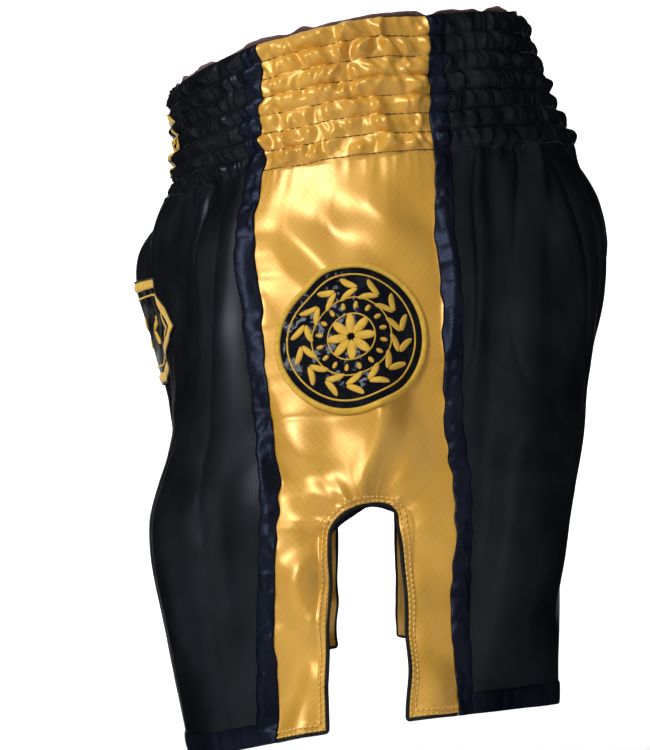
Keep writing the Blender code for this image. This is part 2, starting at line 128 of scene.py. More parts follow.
def innerShare(angle):
    # 0 on the outer side of a leg and 1 between the legs, as a power of half of one less the cosine
    return ((1 - np.cos(angle)) / 2) ** form["innerNarrowness"]


def shell(level, angle):
    # an ellipse round the leg whose height slopes up to the back; the hem climbs between the legs
    middleX, across, middleY, along, _ = section(level)
    x = middleX + across * np.cos(angle)
    y = middleY + along * np.sin(angle)
    below = np.clip(level - crotchLevel, 0, 1) / (1 - crotchLevel)
    z = through("slope", level) * y - level * form["outseam"] + hemRise * below * innerShare(angle)
    z = z - form["hemSag"] * np.clip(level, 0, 2) ** 3 * np.sin(angle) ** 2
    # the top edge hangs lower at the front and at the back than at the side
    fall = form["topDrop"][0] * ramp(-y, 0.05, 0.09) + form["topDrop"][1] * ramp(y, 0.005, 0.045)
    z = z - fall * np.exp(-((np.maximum(level, 0) / 0.18) ** 2))
    return np.stack([x, y, z], axis=-1)


def unit(vectors):
    # each vector over its own length
    return vectors / np.maximum(np.linalg.norm(vectors, axis=-1, keepdims=True), 1e-12)


def shellNormal(level, angle):
    # cross product of the steps down and round the leg
    step = 1e-3
    low = np.maximum(level, step)
    down = shell(low + step, angle) - shell(low - step, angle)
    around = shell(level, angle + step) - shell(level, angle - step)
    return unit(np.cross(down, around))


def seamAngle(level):
    # the angle whose cosine is minus the share by which the loops have parted
    split = section(level)[4]
    return np.arccos(-np.clip(split, 0, 1))


def angleAt(y, level):
    # the angle on the outer side at this y, from its sine
    _, _, middleY, along, _ = section(level)
    return np.arcsin(np.clip((y - middleY) / along, -1, 1))


def frontAngle(x, level):
    # the angle on the front at this x, from its cosine
    middleX, across, _, _, _ = section(level)
    return -np.arccos(np.clip((x - middleX) / across, -1, 1))


def clothRun(level, angle):
    # signed distance round the leg from its outer side, near enough for folds to follow
    _, across, _, along, _ = section(level)
    return angle * (across + along) / 2


def goldEdge(level, towards):
    # the side panel's edge wanders where the waistband gathers it
    drop = np.asarray(level, float) * form["outseam"]
    wander = 0.0013 * noise(drop / 0.0125, towards * 3.0, 17) * (1 - ramp(drop, 0.06, 0.10))
    return through("goldBack" if towards > 0 else "goldFront", level) + wander


# noise, folds and puckers
def noise(x, y, seed):
    # smooth values from -1 to 1 on a unit lattice, the same every run
    x, y = np.broadcast_arrays(np.asarray(x, float), np.asarray(y, float))
    cellX = np.floor(x)
    cellY = np.floor(y)
    easeX = ramp(x - cellX, 0, 1)
    easeY = ramp(y - cellY, 0, 1)

    def corner(i, j):
        # mixes the corner's whole numbers and the seed into sixteen bits
        mixed = ((cellX + i).astype(np.int64) * 374761393 + (cellY + j).astype(np.int64) * 668265263
                 + seed * 2147483647) & 0xFFFFFFFF
        mixed = ((mixed ^ (mixed >> 13)) * 1274126177) & 0xFFFFFFFF
        return ((mixed ^ (mixed >> 16)) & 0xFFFF) / 32767.5 - 1

    top = corner(0, 0) * (1 - easeX) + corner(1, 0) * easeX
    foot = corner(0, 1) * (1 - easeX) + corner(1, 1) * easeX
    return top * (1 - easeY) + foot * easeY


def crease(x, y, seed):
    # sharp ridges where the noise passes through nothing, in two sizes
    large = 1 - np.abs(noise(x, y, seed)) * 2
    small = 1 - np.abs(noise(x * 2.1 + 7, y * 2.1, seed + 1)) * 2
    return large * 0.65 + small * 0.35


folds = {
    "belly": 0.0026,       # how far a channel puffs out between its stitch lines
    "pucker": 0.0019,      # upright puckers on the black
    "crumple": 0.0050,     # soft dents on the gold
    "gather": 0.0046,      # folds that start at the waistband's foot
    "softFold": 0.0068,    # long folds down the skirt of the shorts
    "sway": 0.0030,        # broad waves of the whole cloth
    "wrinkle": 0.0009,     # small creases that cross the long folds
    "wobble": 0.0009,      # how far a stitch line wanders
}


def channelPlace(drop, run, seed):
    # which channel a point is in, and how far down it, with wandering stitch lines
    place = (drop + folds["wobble"] * noise(run / 0.022, drop / 0.03, seed)) / form["channel"]
    return place, place - np.floor(place)


def stitchDrop(index, run, seed):
    # the drop at which channelPlace gives a whole number, closer with each turn
    drop = np.full(np.shape(run), index * form["channel"])
    for _ in range(3):
        drop = index * form["channel"] - folds["wobble"] * noise(run / 0.022, drop / 0.03, seed)
    return drop


def softFloor(height, low=-0.0008, blur=0.0004):
    # log of one plus an exponential: rounds off whatever would sink into the elastic
    return low + blur * np.logaddexp(0, (height - low) / blur)


def bandRelief(drop, run, seed, kind):
    # each channel is a half-sine belly whose size changes along it; puckers cross it and fade at stitches
    place, part = channelPlace(drop, run, seed)
    row = np.floor(place)
    belly = np.sin(math.pi * part) ** 0.75
    lean = (part - 0.5) * 0.005 * noise(run / 0.015, row * 3.1, seed + 15)
    slant = run + 0.0030 * noise(run / 0.011, place * 1.1, seed + 2) + lean
    if kind == "gold":
        size = folds["belly"] * (0.78 + 0.45 * noise(slant / 0.0100, row * 5.3, seed + 1))
        dents = 0.8 * noise(slant / 0.0074, place * 0.7, seed + 3)
        dents = dents + 0.5 * noise(slant / 0.0040, place * 1.3, seed + 4)
        fine = 0.30 * crease(slant / 0.0088, place * 0.9, seed + 16)
        return softFloor(size * belly + folds["crumple"] * (dents + fine) * (0.26 + 0.74 * belly))
    size = folds["belly"] * (0.80 + 0.45 * noise(slant / 0.0080, row * 5.3, seed + 1))
    upright = crease(slant / 0.0066, place * 0.6, seed + 4)
    dents = noise(slant / 0.0062, place * 1.1, seed + 17)
    puckers = folds["pucker"] * (0.75 * upright + 0.8 * dents) * (0.28 + 0.72 * belly)
    return softFloor(size * belly + puckers)


def roundFold(x, y, seed):
    # rounded folds with narrow valleys between them
    return 1 - 2 * np.sqrt(np.abs(noise(x, y, seed)) + 0.004)


def skirtRelief(drop, run, seed, kind):
    # gathers fade down from the band's foot into long soft folds
    below = np.maximum(drop - bandFoot, 0)
    warp = run + 0.005 * noise(run / 0.02, drop / 0.05, seed + 5)
    short = crease(warp / 0.0095, drop / 0.05, seed + 6) * np.exp(-below / 0.014)
    middle = noise(warp / 0.0115, drop / 0.07, seed + 7) * np.exp(-below / 0.045)
    if kind == "gold":
        gentle = 0.0014 * noise(warp / 0.020, drop / 0.045, seed + 8) * ramp(below, 0, 0.03)
        slanted = noise((warp - 0.7 * drop) / 0.022, (drop + 0.5 * warp) / 0.050, seed + 25)
        gentle = gentle + 0.00468 * slanted * ramp(below, 0.005, 0.04)
        return folds["gather"] * (0.16 * short + 0.30 * middle) + gentle
    tilt = warp + 0.16 * below * noise(warp / 0.07, drop / 0.20, seed + 18)
    fine = roundFold(tilt / 0.0165, drop / 0.14, seed + 22) * ramp(below, 0, 0.015)
    fine = fine * np.exp(-below / 0.10)
    long = noise(tilt / 0.025, drop / 0.13, seed + 9) * ramp(below, 0, 0.03)
    broad = noise(tilt / 0.058, drop / 0.20, seed + 10) * ramp(below, 0, 0.06)
    across = crease(tilt / 0.045 + drop / 0.05, drop / 0.040 - tilt / 0.08, seed + 19)
    across = across * ramp(below, 0.02, 0.07)
    patch = ramp(noise(tilt / 0.05, drop / 0.05, seed + 24), -0.1, 0.6)
    return (folds["gather"] * (0.40 * short + 0.95 * middle - 0.70 * fine) + folds["softFold"] * long
            + folds["sway"] * broad + folds["wrinkle"] * across * (0.3 + patch))


# how far the side panel's own folds and seams stand, in metres
goldLook = {
    "ridge": 0.0040,       # the upright fold down the panel
    "pinch": 0.0026,       # its sharp crest between the badge and the slit
    "valley": 0.0024,      # the dip behind that crest
    "hollow": 0.0034,      # the dip that runs from it to the front edge
    "packing": 0.0008,     # a crease from being folded in a packet
    "fan": 0.0034,         # creases that spread from the arch
    "tug": 0.0007,         # small pulls beside the slit's stitches
    "hem": 0.0009,         # the turned edge round the slit
    "foot": 0.0005,        # the turned edge at the flaps' feet
    "seam": 0.0005,        # puckers along the trims
    "flap": 0.0060,        # soft folds of the flaps
}


def hump(away):
    # a bell curve: e to the power of minus the square
    return np.exp(-(away**2))


def uprightFolds(across, drop):
    # a wandering ridge with a dip beside it; its crest sharpens above the arch, with a hollow to the front
    line = 0.004 + 0.006 * ramp(drop, 0.08, 0.19) - 0.013 * ramp(drop, 0.198, 0.243)
    away = across - line
    ridge = goldLook["ridge"] * (np.exp(-((away / 0.020) ** 2) * 1.8)
                                 - 0.35 * np.exp(-((away / 0.020 - 1.3) ** 2) * 1.4))
    ridge *= ramp(drop, 0.07, 0.12) * (1 - ramp(drop, 0.228, 0.25))
    crest = goldLook["pinch"] * hump(away / 0.0042) - goldLook["valley"] * hump((away - 0.011) / 0.007)
    crest *= ramp(drop, 0.186, 0.204) * (1 - ramp(drop, 0.232, 0.246))
    hollow = goldLook["hollow"] * hump((drop - 0.224 - 0.10 * (across + 0.02)) / 0.0075)
    return ridge + crest - hollow * ramp(-across, 0.002, 0.020)


def slitFolds(across, drop, seed):
    # creases fan out by the angle round the arch and fade with the distance from the slit's edge
    spring = form["slitTop"] + form["archRise"]
    up = np.maximum(spring - drop, 0)
    oval = np.maximum(np.hypot(across / (form["slitWidth"] / 2), up / form["archRise"]), 1e-3)
    away = np.hypot(across, up) * (1 - 1 / oval)
    turn = np.arctan2(up + 0.002, across)
    fan = noise(turn * 4.2 + away * 15, away / 0.03, seed + 12)
    fan = fan + 0.5 * crease(turn * 3.6, away / 0.05, seed + 26)
    spread = goldLook["fan"] * fan * np.exp(-np.maximum(away, 0) / 0.013)
    spread *= ramp(drop, 0.19, 0.225) * ramp(away, 0.0005, 0.006)
    tug = goldLook["tug"] * noise(drop / 0.0085, across / 0.02, seed + 27)
    tug = tug * np.exp(-np.maximum(away, 0) / 0.009) * ramp(drop, spring - 0.006, spring + 0.006)
    hem = goldLook["hem"] * (1 - ramp(away, 0.0050, 0.0064)) * ramp(drop, 0.222, 0.232)
    foot = goldLook["foot"] * ramp(drop, form["outseam"] - 0.0068, form["outseam"] - 0.0056)
    return spread + tug + np.maximum(hem, foot)


def goldFolds(level, angle, drop, seed):
    # the side panel's own folds: the ridge, the packing crease, the slit's creases, seam puckers and flaps
    y = section(level)[2] + section(level)[3] * np.sin(angle)
    across = y - through("goldMiddle", level)
    edge = form["goldWidth"] / 2 - np.abs(across)
    packing = goldLook["packing"] * np.exp(-np.abs(drop - 0.196 - 0.03 * across) / 0.0022)
    packing = packing * ramp(0.016 - across, 0, 0.02)
    seam = goldLook["seam"] * noise(drop / 0.0042, across * 9, seed + 13)
    seam = seam * np.exp(-np.maximum(edge, 0) / 0.006)
    flap = goldLook["flap"] * noise((across + 0.5 * drop) / 0.017, (drop - 0.6 * across) / 0.024, seed + 14)
    flap = flap * ramp(drop, 0.20, 0.26) * (0.25 + 0.75 * ramp(edge, 0.0, 0.015))
    return uprightFolds(across, drop) - packing + slitFolds(across, drop, seed) + seam + flap


def foldSeed(side):
    # each half of the garment has its own folds
    return 11 if side > 0 else 47


def relief(level, angle, side, kind):
    # how far the cloth stands off the shell; the gold's folds pass into the black's under the trims
    _, _, middleY, along, _ = section(level)
    drop = level * form["outseam"]
    run = clothRun(level, angle)
    seed = foldSeed(side)
    y = middleY + along * np.sin(angle)
    inside = np.minimum(y - goldEdge(level, -1), goldEdge(level, 1) - y)
    share = ramp(inside, -0.0075, 0.0015) * (np.cos(angle) > 0)
    inBand = 1 - ramp(drop, bandFoot - 0.0005, bandFoot + 0.0005)
    height = np.zeros(np.shape(drop))
    if share.max() > 0:
        skirt = skirtRelief(drop, run, seed, "gold") + goldFolds(level, angle, drop, seed)
        height += share * (inBand * bandRelief(drop, run, seed, "gold") + (1 - inBand) * skirt)
    if share.min() < 1:
        # the seam beside the trim holds the black's folds flat
        free = np.where(np.cos(angle) > 0, 0.3 + 0.7 * ramp(-inside, 0.007, 0.030), 1.0)
        skirt = skirtRelief(drop, run, seed, "black") * free
        height += (1 - share) * (inBand * bandRelief(drop, run, seed, "black") + (1 - inBand) * skirt)
    if kind == "navy":
        ripple = noise(drop / 0.0042, run / 0.0034, seed + 20)
        ripple = ripple + 0.5 * crease(drop / 0.0060, run / 0.02, seed + 21)
        height = height + 0.0006 * ripple * (0.35 + 0.65 * (1 - inBand))
    middle = (seamAngle(level) - np.abs(angle)) * along
    calm = ramp(middle, 0.0, 0.012)
    groove = 0.0007 * np.exp(-np.maximum(middle, 0) / 0.0012)
    bellyOnly = inBand * folds["belly"] * 0.8 * np.sin(math.pi * channelPlace(drop, run, seed)[1]) ** 0.8
    return height * calm + bellyOnly * (1 - calm) - groove


# how the stitched arch is drawn askew, and how far the flaps swing, towards the back and the front
pull = {"at": 0.249, "reach": 0.016, "tilt": 0.0030, "rise": 0.0012, "swing": (0.0022, -0.0004),
        "narrow": (-0.0032, 0.0006)}


def slitPull(level, angle):
    # moves a place on the side panel by bell curves round the arch and a ramp down the flaps
    y = section(level)[2] + section(level)[3] * np.sin(angle)
    across = y - through("goldMiddle", level)
    drop = level * form["outseam"]
    share = across / (form["slitWidth"] / 2)
    near = np.clip(1 - (across / (form["goldWidth"] / 2)) ** 2, 0, 1)
    lift = hump((drop - pull["at"]) / pull["reach"]) * near
    rise = -pull["tilt"] * np.clip(share, -1.6, 1.6) * lift - pull["rise"] * lift
    sides = np.clip(np.abs(share), 0, 1)
    swing = np.where(across > 0, *pull["swing"]) * ramp(drop, 0.25, 0.31) * near * sides
    narrow = np.where(across > 0, *pull["narrow"]) * lift * sides
    newLevel = (drop + rise) / form["outseam"]
    return newLevel, angleAt(through("goldMiddle", newLevel) + across + swing + narrow, newLevel)


def closeSeam(point, level, angle):
    # above the crotch the two halves are sewn together on the middle plane
    middle = (seamAngle(level) - np.abs(angle)) * section(level)[3]
    sewn = np.where(level <= crotchLevel + 1e-9, ramp(middle, 0.0, 0.0014), 1.0)
    point = point.copy()
    point[..., 0] = np.maximum(point[..., 0], 0.0) * sewn
    return point


def clothPoint(level, angle, side, kind, lift=0.0):
    # a point on the cloth of the left half, lifted off its face, and kept on its own side of the middle
    level, angle = np.broadcast_arrays(np.asarray(level, float), np.asarray(angle, float))
    if kind == "gold":
        level, angle = slitPull(level, angle)
    normal = shellNormal(level, angle)
    height = relief(level, angle, side, kind) + lift
    point = shell(level, angle) + normal * height[..., None]
    return closeSeam(point, level, angle), normal


# meshes
def gridQuads(rows, columns, closed=False):
    # rows go down and columns go from front to back; closed joins the last column to the first
    index = np.arange(rows * columns).reshape(rows, columns)
    if closed:
        index = np.concatenate([index, index[:, :1]], axis=1)
    return np.stack([index[:-1, :-1], index[1:, :-1], index[1:, 1:], index[:-1, 1:]], axis=-1).reshape(-1, 4)


def withBack(outer, inner, quads):
    # a sheet with its back and a rim along each free edge
    count = len(outer)
    edges = np.stack([quads, np.roll(quads, -1, axis=1)], axis=-1).reshape(-1, 2)
    edges = edges[edges[:, 0] != edges[:, 1]]
    key = edges[:, 0] * count + edges[:, 1]
    free = edges[~np.isin(key, edges[:, 1] * count + edges[:, 0])]
    rims = np.stack([free[:, 1], free[:, 0], free[:, 0] + count, free[:, 1] + count], axis=-1)
    return np.vstack([outer, inner]), np.vstack([quads, quads[:, ::-1] + count, rims])


def addMesh(name, points, quads, finish, side=1, uv=None):
    # one object at the origin; the right side is mirrored and its faces turned back
    points = np.array(points, np.float32).reshape(-1, 3)
    quads = np.asarray(quads, np.int32)
    if side < 0:
        points = points * np.array((-1, 1, 1), np.float32)
        quads = quads[:, ::-1]
    same = quads[:, 2] == quads[:, 3]
    size = np.where(same, 3, 4)
    loops = quads[np.arange(4)[None, :] < size[:, None]]
    mesh = bpy.data.meshes.new(name)
    mesh.vertices.add(len(points))
    mesh.vertices.foreach_set("co", points.ravel())
    mesh.loops.add(len(loops))
    mesh.loops.foreach_set("vertex_index", loops)
    mesh.polygons.add(len(quads))
    mesh.polygons.foreach_set("loop_start", np.concatenate([[0], np.cumsum(size)[:-1]]).astype(np.int32))
    mesh.polygons.foreach_set("use_smooth", np.ones(len(quads), bool))
    mesh.update(calc_edges=True)
    if uv is not None:
        layer = mesh.uv_layers.new(name="cloth")
        layer.data.foreach_set("uv", np.asarray(uv, np.float32)[loops].ravel())
    mesh.validate()
    mesh.materials.append(finish)
    piece = bpy.data.objects.new(name, mesh)
    bpy.context.scene.collection.objects.link(piece)
    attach(piece, "root")
    return piece


def clothUv(points):
    # distances along the rows and down the columns of a grid of points, in metres
    around = np.zeros(points.shape[:2])
    around[:, 1:] = np.cumsum(np.linalg.norm(np.diff(points, axis=1), axis=-1), axis=1)
    around -= around[:, around.shape[1] // 2][:, None]
    down = np.zeros(points.shape[:2])
    down[1:] = np.cumsum(np.linalg.norm(np.diff(points, axis=0), axis=-1), axis=0)
    middle = down[:, down.shape[1] // 2][:, None]
    return np.stack([around, np.broadcast_to(middle, around.shape)], axis=-1)


def placeUv(levels, angles):
    # the distance round the leg and the drop, in metres
    return np.stack([clothRun(levels, angles), levels * form["outseam"]], axis=-1).reshape(-1, 2)


def sheetPiece(name, node, slot, outer, inner, quads, finish, uv=None, side=1):
    # a piece with a front and a back, which stands for one node of the frame
    points, faces = withBack(outer.reshape(-1, 3), inner.reshape(-1, 3), quads)
    both = None if uv is None else np.vstack([uv, uv])
    piece = addMesh(name, points, faces, finish, side, both)
    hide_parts(node)
    return piece


def threadRow(path, normal, length, gap, width, rise=0.00025):
    # short stitches along a path: each is a bar of six sides that dips into the cloth at its ends
    steps = np.linalg.norm(np.diff(path, axis=0), axis=1)
    at = np.concatenate([[0], np.cumsum(steps)])
    count = max(int(at[-1] / (length + gap)), 1)
    starts = (np.arange(count) + 0.5) * at[-1] / count

    def along(offset):
        where = np.clip(starts + offset, 0, at[-1])
        return np.stack([np.interp(where, at, path[:, i]) for i in range(3)], axis=-1)

    def facing(offset):
        where = np.clip(starts + offset, 0, at[-1])
        return unit(np.stack([np.interp(where, at, normal[:, i]) for i in range(3)], axis=-1))

    rings = []
    turn = np.arange(6) * math.pi / 3
    sideways = unit(np.cross(along(length / 2) - along(-length / 2), facing(0)))
    for share, size, up in ((-0.5, 0.3, -0.4), (-0.36, 1, 0.5), (0.36, 1, 0.5), (0.5, 0.3, -0.4)):
        centre = along(share * length) + facing(share * length) * rise * up
        out = (np.cos(turn)[None, :, None] * sideways[:, None, :] * width
               + np.sin(turn)[None, :, None] * facing(share * length)[:, None, :] * width)
        rings.append(centre[:, None, :] + out * size)
    points = np.stack(rings, axis=1).reshape(-1, 3)
    bar = gridQuads(4, 6, closed=True)[:, ::-1]
    caps = np.array([[0, 1, 2, 3], [0, 3, 4, 5], [21, 20, 19, 18], [23, 22, 21, 18]])
    one = np.vstack([bar, caps])
    faces = (one[None] + 24 * np.arange(count)[:, None, None]).reshape(-1, 4)
    return points, faces


def threadPiece(name, rows, finish, side):
    # many stitch rows in one piece
    points = []
    faces = []
    start = 0
    for rowPoints, rowFaces in rows:
        points.append(rowPoints)
        faces.append(rowFaces + start)
        start += len(rowPoints)
    piece = addMesh(name, np.vstack(points), np.vstack(faces), finish, side)
    return piece


# finishes
class Wire:
    # wraps a socket so that shader maths can be written as an expression
    def __init__(self, finish, socket):
        self.finish = finish
        self.socket = socket

    def beside(self, index):
        # another output of the same node
        return Wire(self.finish, self.socket.node.outputs[index])

    def calc(self, operation, first, second=None):
        values = {0: first} if second is None else {0: first, 1: second}
        return self.finish.node("ShaderNodeMath", {"operation": operation}, values)

    def __add__(self, other):
        return self.calc("ADD", self, other)

    def __radd__(self, other):
        return self.calc("ADD", other, self)

    def __sub__(self, other):
        return self.calc("SUBTRACT", self, other)

    def __rsub__(self, other):
        return self.calc("SUBTRACT", other, self)

    def __mul__(self, other):
        return self.calc("MULTIPLY", self, other)

    def __rmul__(self, other):
        return self.calc("MULTIPLY", other, self)

    def wave(self):
        return self.calc("SINE", self)


class Finish:
    # a material whose nodes are made by one method
    def __init__(self, name, shader):
        self.material = bpy.data.materials.new(name)
        self.material.use_nodes = True
        self.tree = self.material.node_tree
        self.shader = self.tree.nodes["Principled BSDF"]
        for socket, value in shader.items():
            self.shader.inputs[socket].default_value = value

    def node(self, kind, settings=None, values=None, output=0):
        made = self.tree.nodes.new(kind)
        for key, value in (settings or {}).items():
            setattr(made, key, value)
        for key, value in (values or {}).items():
            self.feed(made.inputs[key], value)
        return Wire(self, made.outputs[output])

    def feed(self, socket, value):
        if isinstance(value, Wire):
            self.tree.links.new(value.socket, socket)
        else:
            socket.default_value = value

    def place(self, uv):
        if uv:
            return self.node("ShaderNodeUVMap", {"uv_map": "cloth"})
        return self.node("ShaderNodeTexCoord", output="Object")

    def clouds(self, place, scale, detail=3.0):
        return self.node("ShaderNodeTexNoise", None, {"Vector": place, "Scale": scale, "Detail": detail})

    def split(self, place):
        first = self.node("ShaderNodeSeparateXYZ", None, {0: place})
        return first, first.beside(1), first.beside(2)

    def blend(self, share, first, second):
        # sockets 0, 6 and 7 are the share and the two colours, and output 2 is the mixed colour
        return self.node("ShaderNodeMix", {"data_type": "RGBA"}, {0: share, 6: first, 7: second}, output=2)

    def range(self, value, low, high, fromLow=0.0, fromHigh=1.0):
        return self.node("ShaderNodeMapRange", None, {0: value, 1: fromLow, 2: fromHigh, 3: low, 4: high})

    def bump(self, height, distance):
        wire = self.node("ShaderNodeBump", None, {"Strength": 1.0, "Distance": distance, "Height": height})
        self.feed(self.shader.inputs["Normal"], wire)

    def colour(self, wire):
        self.feed(self.shader.inputs["Base Color"], wire)

    def roughness(self, wire):
        self.feed(self.shader.inputs["Roughness"], wire)


satin = {
    "gold": {"dark": (0.60, 0.292, 0.022, 1), "light": (0.79, 0.430, 0.046, 1), "rough": (0.37, 0.47),
             "metal": 0.26, "weave": 0.0019, "depth": 0.000006, "specular": 1.0, "pattern": 0.045},
    "black": {"dark": (0.015, 0.016, 0.020, 1), "light": (0.034, 0.036, 0.043, 1),
              "rough": (0.34, 0.44), "metal": 0.78, "weave": 0.0009, "depth": 0.00001, "specular": 0.0,
              "pattern": 0.06},
    "navy": {"dark": (0.007, 0.009, 0.016, 1), "light": (0.022, 0.026, 0.043, 1), "rough": (0.40, 0.52),
             "metal": 0.80, "weave": 0.0009, "depth": 0.00001, "specular": 0.0, "pattern": 0.1},
}


def satinFinish(name, look):
    # small diamonds woven into the cloth, with slow changes of shade and gloss
    finish = Finish(name, {"Metallic": look["metal"], "Specular IOR Level": look["specular"]})
    if look["specular"] == 0:
        finish.shader.inputs["Specular Tint"].default_value = (0.0, 0.0, 0.0, 1.0)
    place = finish.place(True)
    u, v, _ = finish.split(place)
    turn = math.pi / look["weave"]
    diamond = (u * turn).wave() * (v * turn).wave()
    grain = finish.clouds(place, 900.0, 2.0)
    slow = finish.clouds(place, 22.0, 3.0)
    shade = finish.range(diamond * look["pattern"] + slow, 0.0, 1.0, 0.25, 0.75)
    finish.colour(finish.blend(shade, look["dark"], look["light"]))
    finish.roughness(finish.range(slow + diamond * 0.12, look["rough"][0], look["rough"][1], 0.3, 0.7))
    finish.bump(diamond + grain * 0.6, look["depth"])
    return finish.material


def threadFinish(name, dark, light, rough=0.5):
    # twisted thread: fine slanted lines over its colour
    finish = Finish(name, {"Specular IOR Level": 0.12})
    place = finish.place(False)
    lines = finish.clouds(place, 1500.0, 1.0)
    slow = finish.clouds(place, 60.0, 2.0)
    finish.colour(finish.blend(finish.range(lines * 0.6 + slow * 0.6, 0, 1, 0.35, 0.85), dark, light))
    finish.roughness(finish.range(lines, rough - 0.08, rough + 0.1))
    finish.bump(lines, 0.0001)
    return finish.material


def embroideryFinish(name, dark, light):
    # rows of laid thread; the rows run across the piece's own map
    finish = Finish(name, {"Specular IOR Level": 0.45})
    place = finish.place(True)
    u, _, _ = finish.split(place)
    rows = (u * (2 * math.pi / 0.00042)).wave() * 0.5 + 0.5
    slow = finish.clouds(place, 240.0, 2.0)
    finish.colour(finish.blend(finish.range(rows * 0.5 + slow * 0.7, 0, 1, 0.15, 0.95), dark, light))
    finish.roughness(finish.range(rows, 0.5, 0.36))
    finish.bump(rows, 0.00012)
    return finish.material


def vinylFinish(name, metal, tint):
    # wet-looking black with fine crinkles
    finish = Finish(name, {"Metallic": metal, "Specular IOR Level": 0.26, "Specular Tint": tint})
    place = finish.place(True)
    crinkle = finish.clouds(place, 110.0, 2.0)
    broad = finish.clouds(place, 50.0, 1.0)
    finish.colour(finish.blend(broad, (0.002, 0.0025, 0.004, 1), (0.007, 0.008, 0.013, 1)))
    finish.roughness(finish.range(crinkle, 0.10, 0.20, 0.3, 0.7))
    finish.bump(crinkle * 0.6 + broad * 2.0, 0.0030)
    return finish.material


def facingFinish(name):
    # plain weave of warm grey threads
    finish = Finish(name, {"Sheen Weight": 0.1, "Specular IOR Level": 0.3})
    place = finish.place(True)
    u, v, _ = finish.split(place)
    weave = (u * (2 * math.pi / 0.0008)).wave() * (v * (2 * math.pi / 0.0008)).wave()
    slow = finish.clouds(place, 40.0, 3.0)
    finish.colour(finish.blend(finish.range(slow + weave * 0.2, 0, 1, 0.2, 0.8),
                               (0.09, 0.045, 0.045, 1), (0.21, 0.12, 0.12, 1)))
    finish.roughness(finish.range(slow, 0.65, 0.85))
    finish.bump(weave, 0.00008)
    return finish.material


def elasticFinish(name):
    # ribbed woven rubber tape, read from the piece's place
    finish = Finish(name, {"Specular IOR Level": 0.3})
    place = finish.place(False)
    _, _, height = finish.split(place)
    ribs = (height * (2 * math.pi / 0.0012)).wave() * 0.5 + 0.5
    grain = finish.clouds(place, 800.0, 2.0)
    finish.colour(finish.blend(finish.range(ribs * 0.6 + grain * 0.5, 0, 1),
                               (0.42, 0.41, 0.38, 1), (0.72, 0.71, 0.67, 1)))
    finish.roughness(finish.range(grain, 0.7, 0.9))
    finish.bump(ribs, 0.0002)
    return finish.material


goldSatin = satinFinish("goldSatin", satin["gold"])
blackSatin = satinFinish("blackSatin", satin["black"])
navySatin = satinFinish("navySatin", satin["navy"])
goldThread = threadFinish("goldThread", (0.62, 0.35, 0.05, 1), (1.0, 0.74, 0.24, 1))
brownThread = threadFinish("brownThread", (0.045, 0.022, 0.008, 1), (0.12, 0.06, 0.02, 1))
blackThread = threadFinish("blackThread", (0.004, 0.004, 0.005, 1), (0.016, 0.016, 0.018, 1))
goldEmbroidery = embroideryFinish("goldEmbroidery", (0.52, 0.27, 0.020, 1), (0.95, 0.60, 0.07, 1))
badgeVinyl = vinylFinish("badgeVinyl", 0.0, (0.25, 0.27, 0.32, 1.0))
patchVinyl = vinylFinish("patchVinyl", 0.8, (0.0, 0.0, 0.0, 1.0))
facingCloth = facingFinish("facingCloth")
elasticTape = elasticFinish("elasticTape")
print("finishes made")

# the long panels
panelMesh = {"columns": 160, "bandRows": 78, "skirtRows": 140, "goldColumns": 54, "goldBandRows": 112,
             "goldRows": 150, "archRows": 14, "flapRows": 90}
# metres: the satin's thickness, how far a panel runs under its trim, and how far gold stays off its binding
sewing = {"cloth": 0.0008, "overlap": 0.0022, "slitInset": 0.0006}


def panelAngles(row, towards, shares, overlap=sewing["overlap"]):
    # a share of the way from the middle seam to the trim's outer edge, less the overlap
    trim = goldEdge(row, towards) + towards * (form["trimWidth"] - overlap)
    return towards * seamAngle(row) * (1 - shares) + angleAt(trim, row) * shares


def hemBandLevel(angle):
    # the level that leaves the hem band's height below it, on the run of cloth at that angle
    run = form["outseam"] - hemRise * innerShare(angle) / (1 - crotchLevel)
    return 1 - form["hemBand"] / run


def bodyPanel(name, node, towards, side):
    # rows are level down to the crotch and then spread to the hem, whose height changes round the leg
    shares = np.linspace(0, 1, panelMesh["columns"] + 1)
    band = np.linspace(0, bandFoot / form["outseam"], panelMesh["bandRows"])
    upper = np.linspace(band[-1], crotchLevel, panelMesh["skirtRows"] * 2 // 3)[1:]
    levels = np.repeat(np.concatenate([band, upper])[:, None], len(shares), axis=1)
    angles = panelAngles(levels, towards, shares[None, :])
    steps = np.linspace(0, 1, panelMesh["skirtRows"] // 3)[1:, None]
    lowAngles = np.repeat(angles[-1:], len(steps), axis=0)
    for _ in range(5):
        foot = hemBandLevel(lowAngles) * 0.5 + 0.5
        lowLevels = crotchLevel + (foot - crotchLevel) * steps
        lowAngles = panelAngles(lowLevels, towards, shares[None, :])
    levels = np.vstack([levels, lowLevels])
    angles = np.vstack([angles, lowAngles])
    if towards > 0:
        levels = levels[:, ::-1]
        angles = angles[:, ::-1]
    outer, normal = clothPoint(levels, angles, side, "black", sewing["cloth"] / 2)
    inner = closeSeam(outer - normal * sewing["cloth"], levels, angles)
    uv = clothUv(shell(levels, angles)).reshape(-1, 2)
    quads = gridQuads(*levels.shape)
    return sheetPiece(name, node, "black_satin", outer, inner, quads, blackSatin, uv, side)


def slitHalf(drop, grow):
    # half the slit's width, following a half-ellipse arch over straight sides
    half = form["slitWidth"] / 2 + grow
    rise = form["archRise"] + grow
    into = np.clip((drop - form["slitTop"] + grow) / rise, 0, 1)
    return half * np.sqrt(np.maximum(1 - (1 - into) ** 2, 0))


